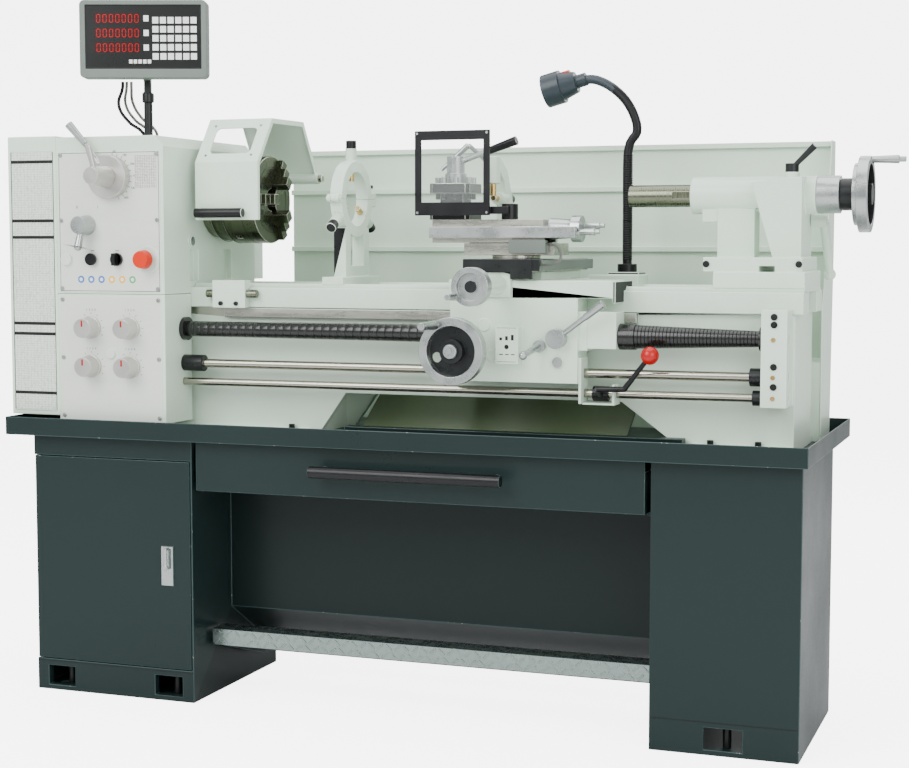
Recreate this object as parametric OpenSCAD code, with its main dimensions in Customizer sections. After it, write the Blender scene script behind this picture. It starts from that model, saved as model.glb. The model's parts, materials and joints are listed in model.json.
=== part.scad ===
// Centre lathe on a two-cabinet stand, with guards, steady rest, lamp and digital readout.
// X runs from the headstock to the tailstock, Y from the operator to the splash guard, Z up.
// Sizes are written about the spindle axis in Y; datum() centres the whole outline.

/* [Stand] */
// Height of the cabinets
stand_h = 606; // [500:1:730]
// Width of the headstock-end cabinet
left_cab_w = 416; // [360:1:500]
// Width of the tailstock-end cabinet
right_cab_w = 311; // [260:1:375]
// Depth of both cabinets
cab_d = 430; // [400:1:516]
// Height of the chip tray's lip
lip_h = 42; // [35:1:50]
// Height of the chip drawer's front
drawer_h = 108; // [90:1:130]
// Height of the foot-brake plate
brake_h = 38; // [30:1:46]

/* [Bed] */
// Height of the bed, from the tray floor to the ways
bed_h = 338; // [300:1:406]
// Length of the bed in front of the headstock
bed_len = 1417; // [1300:1:1700]
// Width over both ways
bed_w = 260; // [240:1:312]
// Depth of each rail under its way
rail_t = 45; // [37:1:54]

/* [Headstock] */
// Height of the spindle over the ways
centre_h = 204; // [185:1:245]
// Length of the headstock casting
head_len = 280; // [270:1:336]
// Bore through the spindle, as a radius
spindle_bore_r = 26; // [22:0.5:30]
// Radius of the chuck body
chuck_r = 102; // [85:1:122]
// Radius of the speed dial
dial_r = 49; // [41:1:58]
// Radius of the four feed knobs
feed_knob_r = 22; // [18:1:26]

/* [Carriage] */
// Width of the cross slide
cross_w = 154; // [130:1:184]
// Length of the cross slide
cross_len = 430; // [400:1:460]
// Length of the top slide
top_len = 255; // [240:1:300]
// Side of the square tool post
post_w = 94; // [80:1:102]
// Radius of the carriage handwheel
carriage_wheel_r = 72; // [60:1:80]
// Radius of the cross-slide handwheel
cross_wheel_r = 40; // [34:1:48]

/* [Tailstock] */
// Radius of the quill
quill_r = 24; // [20:0.5:25.5]
// Radius of the tailstock handwheel
tail_wheel_r = 80; // [68:1:96]

/* [Rods] */
// Radius of the lead screw
lead_r = 11; // [9.5:0.5:13]
// Radius of the feed rod
feed_r = 10; // [8.5:0.5:12]
// Radius of the control rod
control_r = 9; // [7.5:0.5:10.5]

/* [Steady rest] */
// Inner radius of the steady rest's ring
steady_in_r = 62; // [55:1:66]
// Outer radius of the steady rest's ring
steady_out_r = 88; // [80:1:100]

/* [Readout and lamp] */
// Width of the readout
readout_w = 300; // [250:1:360]
// Height of the readout
readout_h = 182; // [152:1:218]
// Radius of the lamp head
lamp_r = 38; // [32:1:45]

/* [Hidden] */

$fn = 64;
// the outline's centre stands at the origin
datum_x = -14;
datum_y = 52;
// running clearance of a shaft, free gap between bodies, reach of a cutter past a face
run = 0.05;
gap = 0.5;
cut = 1;
// sheet thicknesses
sheet = 3;
wall = 4;

// stand
cab_y0 = -260;
cab_y1 = cab_y0 + cab_d;
left_x0 = -926;
left_x1 = left_x0 + left_cab_w;
tray_t = 6;
floor_z = stand_h + tray_t;
tray_y0 = cab_y0 - 30;
tray_y1 = 345;

// bed
way_z = floor_z + bed_h;
axis_z = way_z + centre_h;
head_x1 = -576;
head_x0 = head_x1 - head_len;
bed_x0 = head_x0 + 6;
bed_x1 = head_x1 + bed_len;
half_w = bed_w / 2;
web_y = half_w - 15;
web_t = 18;
right_x1 = bed_x1 + 25;
right_x0 = right_x1 - right_cab_w;
tray_x0 = left_x0 - 57;
tray_x1 = bed_x1 + 39;
vee_h = 10;
vee_w = 24;
vee_y = half_w - 24;

// headstock front
front_y = -255;
plate_t = 2;
plate_y = front_y - plate_t;
back_y = 200;
lid_z = axis_z + 109;
head_top = lid_z + 32;
seam_z = way_z - 14;
box_z0 = way_z - 310;
box_y1 = -half_w - 1;
head_wall = 20;

// rods
rod_y = -half_w - 35;
lead_z = way_z - 95;
feed_z = way_z - 174;
control_z = way_z - 217;
bracket_x0 = bed_x1 - 75;
bracket_x1 = bed_x1 - 22;

// carriage
car_x0 = 72;
car_x1 = 456;
apron_x0 = 95;
apron_x1 = 381;
apron_y0 = rod_y - 40;
apron_z0 = way_z - 195;
apron_z1 = way_z - 14;
saddle_z = way_z + 23;
bridge_z = way_z + 40;
cross_z = bridge_z + 28;
cross_x = 208;
cross_y0 = -cross_len / 2;
comp_y = -90;
base_z1 = cross_z + 44;
top_z = base_z1 + 41;
post_x = 66;
post_h = 80;

// tailstock, held at the bed's far end
tail_x = bed_x1 - 100;
barrel_r = 40;

// readout
dro_x = -735;
dro_y = -40;
dro_turn = 20;
dro_z = head_top + 145;

// lamp
lamp_x = 404;
lamp_y = 120;

module datum() { translate([datum_x, datum_y, 0]) children(); }

// boxes, round bars and prisms placed by their limits
module box(x, y, z) {
    translate([x[0], y[0], z[0]]) cube([x[1] - x[0], y[1] - y[0], z[1] - z[0]]);
}
module xbar(r, x, y, z) { translate([x[0], y, z]) rotate([0, 90, 0]) cylinder(r = r, h = x[1] - x[0]); }
module ybar(r, y, x, z) { translate([x, y[1], z]) rotate([90, 0, 0]) cylinder(r = r, h = y[1] - y[0]); }
module zbar(r, z, x, y) { translate([x, y, z[0]]) cylinder(r = r, h = z[1] - z[0]); }
module xcone(r0, r1, x, y, z) {
    translate([x[0], y, z]) rotate([0, 90, 0]) cylinder(r1 = r0, r2 = r1, h = x[1] - x[0]);
}
module ycone(r0, r1, y, x, z) {
    translate([x, y[1], z]) rotate([90, 0, 0]) cylinder(r1 = r1, r2 = r0, h = y[1] - y[0]);
}
module xprism(yz, x) {
    translate([x[0], 0, 0]) rotate([90, 0, 90]) linear_extrude(x[1] - x[0]) polygon(yz);
}
module yprism(xz, y) {
    translate([0, y[1], 0]) rotate([90, 0, 0]) linear_extrude(y[1] - y[0]) polygon(xz);
}
// a round bar between two points
module strut(a, b, r0, r1) {
    d = b - a;
    translate(a) rotate([0, acos(d[2] / norm(d)), atan2(d[1], d[0])])
        cylinder(r1 = r0, r2 = r1, h = norm(d));
}
// an upright sheet with rounded corners, from a centred outline
module rounded(w, h, r, t) {
    linear_extrude(t) union() {
        square([w - 2 * r, h], center = true);
        square([w, h - 2 * r], center = true);
        for (sx = [-1, 1], sy = [-1, 1]) translate([sx * (w / 2 - r), sy * (h / 2 - r)]) circle(r);
    }
}

// swept round tubes: a smooth curve through hand-placed points, then rings along it
function curve(p, steps) = [for (i = [0 : len(p) - 2], s = [0 : steps - 1])
    let (a = p[max(i - 1, 0)], b = p[i], c = p[i + 1], d = p[min(i + 2, len(p) - 1)], t = s / steps)
    0.5 * (2 * b + (c - a) * t + (2 * a - 5 * b + 4 * c - d) * t * t
        + (3 * b - a - 3 * c + d) * t * t * t), p[len(p) - 1]];
function unit(v) = v / norm(v);
function along(q, i) = unit(q[min(i + 1, len(q) - 1)] - q[max(i - 1, 0)]);
module tube(p, r, sides, side_way, steps) {
    q = curve(p, steps);
    n = len(q);
    rings = [for (i = [0 : n - 1])
        let (t = along(q, i), u = unit(cross(t, side_way)), v = cross(t, u))
        for (k = [0 : sides - 1])
            q[i] + r * (cos(k * 360 / sides) * u + sin(k * 360 / sides) * v)];
    faces = concat(
        [[for (k = [0 : sides - 1]) k]],
        [for (i = [0 : n - 2], k = [0 : sides - 1])
            [i * sides + k, (i + 1) * sides + k, (i + 1) * sides + (k + 1) % sides,
                i * sides + (k + 1) % sides]],
        [[for (k = [sides - 1 : -1 : 0]) (n - 1) * sides + k]]);
    polyhedron(rings, faces);
}

// ---- stand ----
pocket_z = [12, 58];
anchor_r = 9;
anchor_inset = 45;

pedal_y = -185;
pedal_z = 122;
pedal_pivot = [56, 66];
pedal_r = 8;
module pedal_bore(x) { xbar(pedal_r + run, x, pedal_pivot[0], pedal_pivot[1]); }
drawer_z = [stand_h - 4 - drawer_h, stand_h - 4];
module drawer_runner(x) { box(x, [cab_y0 + 50, 100], [drawer_z[0] - 10, drawer_z[0] - 2.5]); }
module anchor_holes(x0, x1) {
    for (x = [x0 + anchor_inset, x1 - anchor_inset], y = [cab_y0 + anchor_inset, cab_y1 - anchor_inset])
        zbar(anchor_r, [-cut, 10], x, y);
}
module cabinet_shell(x0, x1, front) {
    difference() {
        box([x0, x1], [cab_y0, cab_y1], [0, stand_h]);
        box([x0 + wall, x1 - wall], [front, cab_y1 - wall], [8, stand_h - wall]);
        anchor_holes(x0, x1);
    }
}
door_z = [76, stand_h - 50];
module left_cabinet() datum() {
    front = cab_y0 + 20;
    color("#46535a") difference() {
        cabinet_shell(left_x0, left_x1, front);
        // recess for the door, doorway behind it, and lifting pockets in the plinth
        box([left_x0 - cut, left_x1 - wall], [cab_y0 - cut, cab_y0 + 14.3], [door_z[0] - 2, door_z[1] + 2]);
        zbar(4 + run, [door_z[0] - 12, door_z[1] + 12], left_x0 + 7, cab_y0 + 7);
        box([left_x0 + 25, left_x1 - 25], [cab_y0, front + cut], [door_z[0] + 20, door_z[1] - 20]);
        for (x = [left_x0 + 30, left_x1 - 101]) box([x, x + 71], [cab_y0 - cut, front + cut], pocket_z);
        box([left_x1 - 90, left_x1 - 30], [cab_y1 - 10, cab_y1 + cut], [60, 500]);
        pedal_bore([left_x1 - wall - cut, left_x1 + cut]);
    }
    // motor shelf, folded from sheet
    color("#46535a") box([left_x0 + wall, left_x1 - wall], [cab_y0 + 90, cab_y1 - wall], [220, 226]);
    // folded sheet that closes the knee space behind the foot brake
    color("#3c474d") xprism([[-70, 190], [60, 110], [60, 113.5], [-67, 192], [-67, 467],
        [40, 467], [40, 470], [-70, 470]], [left_x1, right_x0]);
    color("#46535a") drawer_runner([left_x1, left_x1 + 19.5]);
}
module right_cabinet() datum() {
    color("#46535a") difference() {
        cabinet_shell(right_x0, right_x1, cab_y0 + wall);
        box([right_x0 + 115, right_x0 + 196], [cab_y0 - cut, cab_y0 + 10], pocket_z);
        box([right_x0 + 60, right_x1 - 60], [cab_y1 - 10, cab_y1 + cut], [90, stand_h - 90]);
        pedal_bore([right_x0 - cut, right_x0 + wall + cut]);
    }
    color("#46535a") drawer_runner([right_x0 - 19.5, right_x0]);
}
chip_x = [-180, 440];
chip_y = [-116, -62];
module chip_tray() datum() {
    color("#4d5a60") difference() {
        box([tray_x0, tray_x1], [tray_y0, tray_y1], [stand_h, stand_h + lip_h]);
        box([tray_x0 + sheet, tray_x1 - sheet], [tray_y0 + sheet, tray_y1 - sheet],
            [floor_z, stand_h + lip_h + cut]);
        box(chip_x, chip_y, [stand_h - cut, floor_z + cut]);
    }
    // pan edge in front of the bed, and the slope that leads chips into the drawer
    color("#39434a") box([chip_x[0], bed_x1 - 245], [-150, -web_y - 5], [floor_z, floor_z + 28]);
    color("#6d7a5c") xprism([[chip_y[1] + 2, floor_z], [94, floor_z + 96], [94, floor_z + 99],
        [chip_y[1] + 2, floor_z + 4]], [chip_x[0] - 4, chip_x[1] + 8]);
}
module chip_drawer() datum() {
    z0 = drawer_z[0];
    z1 = drawer_z[1];
    x = [left_x1 + 12, right_x0 - 12];
    color("#46535a") difference() {
        union() {
            box(x, [cab_y0 - 2, cab_y0 + 1], [z0, z1]);
            box(x, [cab_y0 + 1, 110], [z0 - 2, z1 - 22]);
        }
        box([x[0] + sheet, x[1] - sheet], [cab_y0 + 4, 107], [z0 + 1, z1]);
    }
    // pull bar on two posts
    bar_y = cab_y0 - 42;
    bar_z = z0 + 0.55 * drawer_h;
    grip = [x[0] + 300, x[1] - 300];
    color("#1b1c1d") xbar(13, grip, bar_y, bar_z);
    color("#1b1c1d") for (px = [grip[0] + 20, grip[1] - 20]) ybar(8, [bar_y + 8, cab_y0 - 2], px, bar_z);
}
module cabinet_door() datum() {
    x = [left_x0, left_x1 - wall - 2];
    y = [cab_y0, cab_y0 + 14];
    color("#46535a") difference() {
        union() {
            box([x[0] + 7, x[1]], y, door_z);
            zbar(7, door_z, x[0] + 7, y[0] + 7);
        }
        box([x[0] + 15, x[1] - 15], [y[0] + 2, y[1] + cut], [door_z[0] + 15, door_z[1] - 15]);
    }
    color("silver") zbar(4, [door_z[0] - 10, door_z[0] + 5], x[0] + 7, y[0] + 7);
    color("silver") zbar(4, [door_z[1] - 5, door_z[1] + 10], x[0] + 7, y[0] + 7);
    // latch plate and its turning handle
    latch = [x[1] - 73, x[1] - 42];
    color("silver") box(latch, [y[0] - 3, y[0]], [door_z[0] + 193, door_z[0] + 284]);
    color("silver")
        box([latch[0] + 8, latch[1] - 8], [y[0] - 9, y[0] - 3], [door_z[0] + 235, door_z[0] + 278]);
}
module brake_pedal() datum() {
    x = [left_x1 + 9, right_x0 - 9];
    color("#9aa0a2") box(x, [pedal_y, pedal_y + 3], [pedal_z, pedal_z + brake_h]);
    color("#9aa0a2") box(x, [pedal_y + 3, pedal_y + 60], [pedal_z + brake_h - 3, pedal_z + brake_h]);
    // arms back to the pivot shaft, which turns in both cabinets' walls
    color("#3c474d") {
        for (ax = [x[0] + 12, x[1] - 20])
            xprism([[pedal_y + 3, pedal_z], [pedal_y + 3, pedal_z + brake_h - 3],
                [pedal_pivot[0] + 10, pedal_pivot[1] + 14], [pedal_pivot[0] + 10, pedal_pivot[1] - 14],
                [pedal_pivot[0] - 10, pedal_pivot[1] - 14]], [ax, ax + 8]);
        xbar(pedal_r, [left_x1 - wall + gap, right_x0 + wall - gap], pedal_pivot[0], pedal_pivot[1]);
    }
}
module drive_motor() datum() {
    x = [left_x0 + 70, left_x0 + 300];
    y = -20;
    z = 330;
    r = 84;
    color("#56646b") xbar(r, x, y, z);
    color("#56646b") box([x[0] + 30, x[1] - 30], [y - 70, y + 70], [226, z - 60]);
    color("#56646b") box([x[0] + 70, x[1] - 70], [y - 45, y + 45], [z + 60, z + 120]);
    // belt pulley on the shaft
    color("silver") xbar(14, [x[0] - 40, x[0]], y, z);
    color("#30363a") difference() {
        xbar(48, [x[0] - 36, x[0] - 8], y, z);
        xbar(14, [x[0] - 37, x[0] - 7], y, z);
    }
}

// ---- bed ----
arch_x = [-191, 454];
arch_foot_x = [-262, 590];
arch_z = way_z - 238;
module rail(y) {
    box([bed_x0, bed_x1], y, [way_z - rail_t, way_z]);
}
module vee(side, grow) {
    y = side * vee_y;
    translate([head_x1 + cut, 0, way_z]) rotate([90, 0, 90])
        linear_extrude(bed_x1 - head_x1 - 2 * cut)
            polygon([[y - vee_w / 2 - 3 * grow, -grow], [y + vee_w / 2 + 3 * grow, -grow],
                [y, vee_h + 2 * grow]]);
}
module web(y0) {
    yprism([[bed_x0, floor_z], [arch_foot_x[0], floor_z], [arch_x[0], arch_z], [arch_x[1], arch_z],
        [arch_foot_x[1], floor_z], [bed_x1 - 18, floor_z], [bed_x1 - 18, way_z - rail_t],
        [bed_x0, way_z - rail_t]], [y0, y0 + web_t]);
}
module rod_bores(x, grow) {
    xbar(lead_r + grow, x, rod_y, lead_z);
    xbar(feed_r + grow, x, rod_y, feed_z);
    xbar(control_r + grow, x, rod_y, control_z);
}
module bed() datum() {
    color("#dfe3da") {
        rail([-half_w, -half_w + 75]);
        rail([half_w - 75, half_w]);
        for (side = [-1, 1]) intersection() {
            vee(side, 0);
            box([head_x1, bed_x1], [-half_w, half_w], [way_z - cut, way_z + vee_h]);
        }
    }
    color("#cfd8cc") union() {
        web(-web_y);
        web(web_y - web_t);
        // hollow pedestals, open below
        for (x = [[bed_x0, arch_foot_x[0] - 20], [arch_foot_x[1] + 20, bed_x1 - 18]]) {
            box([x[0], x[0] + web_t], [-web_y, web_y], [floor_z, way_z - rail_t]);
            box([x[1] - web_t, x[1]], [-web_y, web_y], [floor_z, way_z - rail_t]);
            box([x[0], x[1]], [-half_w - 5, -web_y + web_t], [floor_z, floor_z + 16]);
            box([x[0], x[1]], [web_y - web_t, half_w + 5], [floor_z, floor_z + 16]);
        }
        for (x = [-160 : 200 : bed_x1 - 400])
            box([x, x + web_t], [-web_y, web_y], [way_z - 200, way_z - rail_t - 15]);
    }
    // rack under the front way, and the bracket that carries the rods' ends
    color("#b9b9a8") box([head_x1 + 86, bed_x1 - 352], [-web_y - 15, -web_y], [way_z - 67, way_z - 47]);
    color("#dde5da") difference() {
        union() {
            box([bracket_x0, bracket_x1], [rod_y - 30, -web_y], [way_z - 234, way_z - rail_t - 1]);
            box([bracket_x0, bracket_x1], [rod_y - 30, -half_w - 1], [way_z - 234, way_z - 34]);
        }
        rod_bores([bracket_x0 - cut, bracket_x1 + cut], run);
    }
}
module screw_head(y, x, z) { ybar(5, [y - 2.5, y], x, z); }
module fasteners() datum() {
    // plate screws on the headstock and the gearbox
    color("silver") for (x = [head_x0 + 14, head_x1 - 15], z = [seam_z + 12, axis_z - 50, lid_z - 10])
        screw_head(plate_y, x, z);
    color("silver") for (x = [head_x0 + 14, head_x1 - 15])
        for (z = [box_z0 + 14, (box_z0 + seam_z) / 2, seam_z - 14]) screw_head(plate_y, x, z);
    // cap screws of the rod bracket
    color("#2b2d2e") for (z = [way_z - 48, way_z - 64, way_z - 150, way_z - 191])
        ybar(7, [rod_y - 33, rod_y - 30], (bracket_x0 + bracket_x1) / 2, z);
    // hold-down bolts of the bed
    color("#2b2d2e") for (x = [bed_x0 + 60, arch_foot_x[0] - 60, arch_foot_x[1] + 60, bed_x1 - 90])
        for (y = [-half_w + 4, half_w - 4])
            if (y > 0 || x > head_x1) zbar(7, [floor_z + 16, floor_z + 26], x, y);
    // levelling screws that stand in the plinth pockets
    color("#2b2d2e") for (x = [left_x0 + 66, left_x1 - 66, right_x0 + 156])
        zbar(9, [8, pocket_z[1] - 10], x, cab_y0 + 45);
}

// ---- headstock ----
dial_x = -709;
dial_z = axis_z + 48;
lever_x = -774;
lever_z = axis_z - 61;
button_z = axis_z - 139;
button_x = [-761, -696, -618];
knob_x = [-768, -666];
knob_z = [way_z - 92, way_z - 181];
journal_r = 45;
shaft_r = 8;
// vertical hinge behind the end cover: barrels on the cover, pins on the headstock
hinge_x = head_x0 - 0.15;
hinge_y = back_y + 8;
hinge_r = 7;
hinge_pin_r = 4;
hinge_w = 10;
hinge_h = 20;
hinge_z = [way_z + 30, way_z + 260];
shaft_end = front_y + 15;
pivot_y = 170;
pivot_z = axis_z + 55;
pivot_r = 9;
module shaft_bores(at) {
    for (p = at) ybar(shaft_r + run, [plate_y - cut, shaft_end], p[0], p[1]);
}
module headstock() datum() {
    head_at = concat([[dial_x, dial_z], [lever_x, lever_z]], [for (x = button_x) [x, button_z]]);
    color("#d8e2d5") difference() {
        union() {
            box([head_x0, head_x1], [front_y, back_y], [way_z, lid_z]);
            box([head_x0, head_x1], [front_y, box_y1], [seam_z, way_z]);
        }
        box([head_x0 + head_wall, head_x1 - head_wall], [front_y + head_wall, back_y - head_wall],
            [way_z + head_wall, lid_z + cut]);
        xbar(journal_r + run, [head_x0 - cut, head_x1 + cut], 0, axis_z);
        // casting pockets beside the ways
        for (y = [-133, 33]) box([head_x1 - 14, head_x1 + cut], [y, y + 40], [way_z + 15, way_z + 88]);
        shaft_bores(head_at);
    }
    // lid with a bevelled end, and the control plate
    color("#e2e9de") yprism([[head_x0, lid_z], [head_x1, lid_z], [head_x1, lid_z + 8],
        [head_x1 - 22, head_top], [head_x0, head_top]], [front_y, back_y]);
    color("#eef0ee") difference() {
        box([head_x0 + 6, head_x1 - 7], [plate_y, front_y], [seam_z + 3, lid_z - 3]);
        shaft_bores(head_at);
    }
    // oil sight glass, pilot lamp and the rod that the chuck guard swings on
    color("silver") xbar(12, [head_x1, head_x1 + 5], -128, axis_z - 97);
    color("#f4f4f0") ybar(14, [plate_y - 8, plate_y], -828, button_z);
    color("#f2b233") difference() {
        ybar(30, [plate_y - 1.5, plate_y], button_x[2], button_z);
        ybar(shaft_r + run, [plate_y - 2, plate_y + cut], button_x[2], button_z);
    }
    color("silver") xbar(pivot_r, [head_x1, -374], pivot_y, pivot_z);
    // lower halves of the end cover's hinges, with their pins
    color("silver") for (z = hinge_z) {
        box([head_x0, head_x0 + hinge_w], [back_y, hinge_y], [z, z + hinge_h]);
        zbar(hinge_r, [z, z + hinge_h], hinge_x, hinge_y);
        zbar(hinge_pin_r, [z + hinge_h, z + 2 * hinge_h], hinge_x, hinge_y);
    }
    // electrics box behind the casting
    color("#d8e2d5") box([head_x0 + 20, head_x1 - 24], [back_y, back_y + 95], [way_z + 12, lid_z - 24]);
}
module feed_gearbox() datum() {
    box_at = [for (x = knob_x, z = knob_z) [x, z]];
    color("#d8e2d5") difference() {
        box([head_x0, head_x1], [front_y, box_y1], [box_z0, seam_z - 1]);
        box([head_x0 + head_wall, head_x1 - head_wall], [front_y + head_wall, box_y1 - head_wall],
            [box_z0 + head_wall, seam_z - head_wall]);
        rod_bores([head_x1 - head_wall - cut, head_x1 + cut], run);
        shaft_bores(box_at);
    }
    color("#eef0ee") difference() {
        box([head_x0 + 6, head_x1 - 7], [plate_y, front_y], [box_z0 + 3, seam_z - 4]);
        shaft_bores(box_at);
    }
    color("silver") ybar(12, [plate_y - 5, plate_y], -716, way_z - 151);
}
module end_cover() datum() {
    x = [head_x0 - 129, head_x0 - 0.3];
    color("#dfe5dc") difference() {
        box(x, [front_y, back_y], [box_z0 + 12, head_top + 3]);
        box([x[0] + sheet, x[1] + cut], [front_y + sheet, back_y - sheet], [box_z0 + 15, head_top]);
        xbar(journal_r, [x[0] - cut, x[0] + sheet + cut], 0, axis_z);
    }
    color("#e9ecea") box([x[0] + 8, x[1] - 6], [front_y - 1.5, front_y], [box_z0 + 22, lid_z]);
    color("#1b1c1d") xbar(16, [x[0] - 14, x[0]], front_y + 60, way_z + 25);
    // upper halves of the hinges, bored for the pins
    color("silver") for (z = hinge_z) difference() {
        union() {
            box([x[1] - hinge_w, x[1]], [back_y, hinge_y], [z + hinge_h + gap, z + 2 * hinge_h]);
            zbar(hinge_r, [z + hinge_h + gap, z + 2 * hinge_h], hinge_x, hinge_y);
        }
        zbar(hinge_pin_r + run, [z + hinge_h, z + 2 * hinge_h + cut], hinge_x, hinge_y);
    }
}
module spindle() datum() {
    color("#a9a99c") difference() {
        union() {
            xbar(journal_r, [head_x0 - 44, head_x1 + 2], 0, axis_z);
            xbar(88, [head_x1 + 2, head_x1 + 26], 0, axis_z);
            xbar(72, [head_x0 - 36, head_x0 - 12], 0, axis_z);
        }
        xbar(spindle_bore_r, [head_x0 - 45, head_x1 + 27], 0, axis_z);
    }
}
chuck_x0 = head_x1 + 26;
chuck_x1 = head_x1 + 146;
slot_w = 24;
jaw_x0 = chuck_x1 - 30;
module around(angle) { translate([0, 0, axis_z]) rotate([angle, 0, 0]) children(); }
module chuck() datum() {
    color("#8d8d82") difference() {
        union() {
            xbar(chuck_r - 6, [chuck_x0, chuck_x0 + 34], 0, axis_z);
            xbar(chuck_r, [chuck_x0 + 34, chuck_x1], 0, axis_z);
        }
        xbar(spindle_bore_r, [chuck_x0 - cut, chuck_x1 + cut], 0, axis_z);
        for (a = [60, 180, 300]) around(a) {
            box([jaw_x0, chuck_x1 + cut], [0, chuck_r + 10], [-slot_w / 2, slot_w / 2]);
        }
        for (a = [0, 120, 240]) around(a)
            box([chuck_x0 + 55, chuck_x0 + 67], [chuck_r - 14, chuck_r + 2], [-6, 6]);
    }
}
// hard jaw: a base in the slot and three steps, the tallest towards the axis
module jaw(angle) datum() {
    t = slot_w / 2 - 0.3;
    r0 = 34;
    step = 23;
    color("#77776e") around(angle) {
        box([jaw_x0 + 0.3, chuck_x1], [r0, r0 + 3 * step], [-t, t]);
        for (i = [0 : 2])
            box([chuck_x1, chuck_x1 + 12 * (3 - i)], [r0 + i * step, r0 + (i + 1) * step], [-t, t]);
    }
}
module jaw_1() jaw(180);
module jaw_2() jaw(60);
module jaw_3() jaw(300);
guard_x = [-552, -392];
guard_fold = [[-150, axis_z - 49], [-150, axis_z + 83], [-72, axis_z + 186], [100, axis_z + 188],
    [pivot_y + 12, pivot_z + 4]];
function lean(a, b) = atan2(b[1] - a[1], b[0] - a[0]);
// folded sheet of thickness t under the outline, mitred at each fold
function inward(i) = let (u = unit(guard_fold[i + 1] - guard_fold[i])) [u[1], -u[0]];
function mitre(i) = let (a = inward(max(i - 1, 0)), b = inward(min(i, 3))) (a + b) / (1 + a * b);
module guard_sheet(t, x) {
    xprism(concat(guard_fold, [for (i = [4 : -1 : 0]) guard_fold[i] + t * mitre(i)]), x);
}
module chuck_guard() datum() {
    a = guard_fold[1];
    tilt = lean(a, guard_fold[2]);
    mid = (guard_x[0] + guard_x[1]) / 2;
    color("#f2f4f1") difference() {
        union() {
            guard_sheet(sheet, guard_x);
            guard_sheet(12, [guard_x[0], guard_x[0] + 2]);
            guard_sheet(12, [guard_x[1] - 2, guard_x[1]]);
            xbar(pivot_r + 4, [guard_x[0], guard_x[1] + 8], pivot_y, pivot_z);
        }
        xbar(pivot_r + run, [guard_x[0] - cut, guard_x[1] + 9], pivot_y, pivot_z);
        translate([mid, a[0], a[1]]) rotate([tilt, 0, 0])
            translate([0, 64, -8]) rounded(104, 76, 12, 16);
    }
    // clear pane behind the window, bar handle below it, cap on the pivot tube
    color([0.8, 0.9, 0.9, 0.4]) translate([mid, a[0], a[1]]) rotate([tilt, 0, 0])
        box([-62, 62], [16, 112], [-sheet - 2, -sheet]);
    color("#1b1c1d") xbar(11, [guard_x[0] + 8, guard_x[1] - 30], a[0] - 16, axis_z - 33);
    color("#1b1c1d") for (x = [guard_x[0] + 22, guard_x[1] - 44])
        ybar(6, [a[0] - 10, a[0]], x, axis_z - 33);
}

// ---- splash guard ----
splash_y = 300;
module splash_guard() datum() {
    x = [-520, bed_x1 - 4];
    top = axis_z + 129;
    color("#d3ddd2") box(x, [splash_y + 10, splash_y + 13], [floor_z, top]);
    // folded edge and the two ribs across the sheet
    color("#d3ddd2") for (z = [top - 12, axis_z + 20, axis_z - 122])
        box(x, [splash_y - 2, splash_y + 10], [z, z + 12]);
    // end panel that follows the tray forward
    color("#dbe3d8") xprism([[splash_y + 13, top], [splash_y - 40, top], [200, way_z + 60],
        [150, way_z - 40], [150, floor_z], [290, floor_z], [splash_y + 13, way_z + 80]],
        [x[1], x[1] + sheet]);
    color("#dbe3d8") box([x[1] - 46, x[1]], [152, splash_y + 10], [floor_z, way_z - 162]);
}

// ---- readout ----
module dro_post() datum() {
    color("#4b5357") zbar(10, [head_top + 8, head_top + 92], dro_x, dro_y);
    color("#4b5357") zbar(24, [head_top, head_top + 8], dro_x, dro_y);
}
module dro_display() datum() {
    pin_z = head_top + 92;
    translate([dro_x, dro_y, 0]) rotate([0, 0, dro_turn]) {
        // knuckle on the post, arm and case
        color("#2f3437") zbar(14, [pin_z, pin_z + 22], 0, 0);
        color("#2f3437") box([-8, 8], [-12, 6], [pin_z + 22, dro_z + 60]);
        color("#7f8b84") difference() {
            translate([0, -12, dro_z + readout_h / 2]) rotate([90, 0, 0])
                rounded(readout_w, readout_h, 12, 46);
            box([14 - readout_w / 2, readout_w / 2 - 14], [-60, -55],
                [dro_z + 22, dro_z + readout_h - 12]);
        }
        color("#15181a") box([-readout_w / 2 + 14, readout_w / 2 - 14], [-55, -54],
            [dro_z + 22, dro_z + readout_h - 12]);
    }
}
// readout leads: from the case's lower left edge round to the top of the headstock
dro_paths = [
    [[-812, -26, 1440], [-813, -26, 1425], [-826, -23, 1385], [-804, -14, 1345], [-772, -3, 1318],
        [-770, 0, 1306], [-770, 0, 1295.5]],
    [[-802, -24, 1440], [-803, -24, 1425], [-810, -18, 1388], [-790, -10, 1350], [-758, 0, 1322],
        [-754, 4, 1306], [-754, 4, 1295.5]],
    [[-792, -20, 1440], [-792, -20, 1425], [-794, -12, 1392], [-776, -4, 1356], [-743, 6, 1324],
        [-738, 8, 1306], [-738, 8, 1295.5]]];
dro_cable_r = [4, 3.5, 3.5];
module dro_cables() datum() {
    lift = axis_z - 1154;
    color("#3b3e40") for (i = [0 : 2])
        translate([0, 0, lift]) tube(dro_paths[i], dro_cable_r[i], 8, [0, 1, 0], 3);
}

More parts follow.
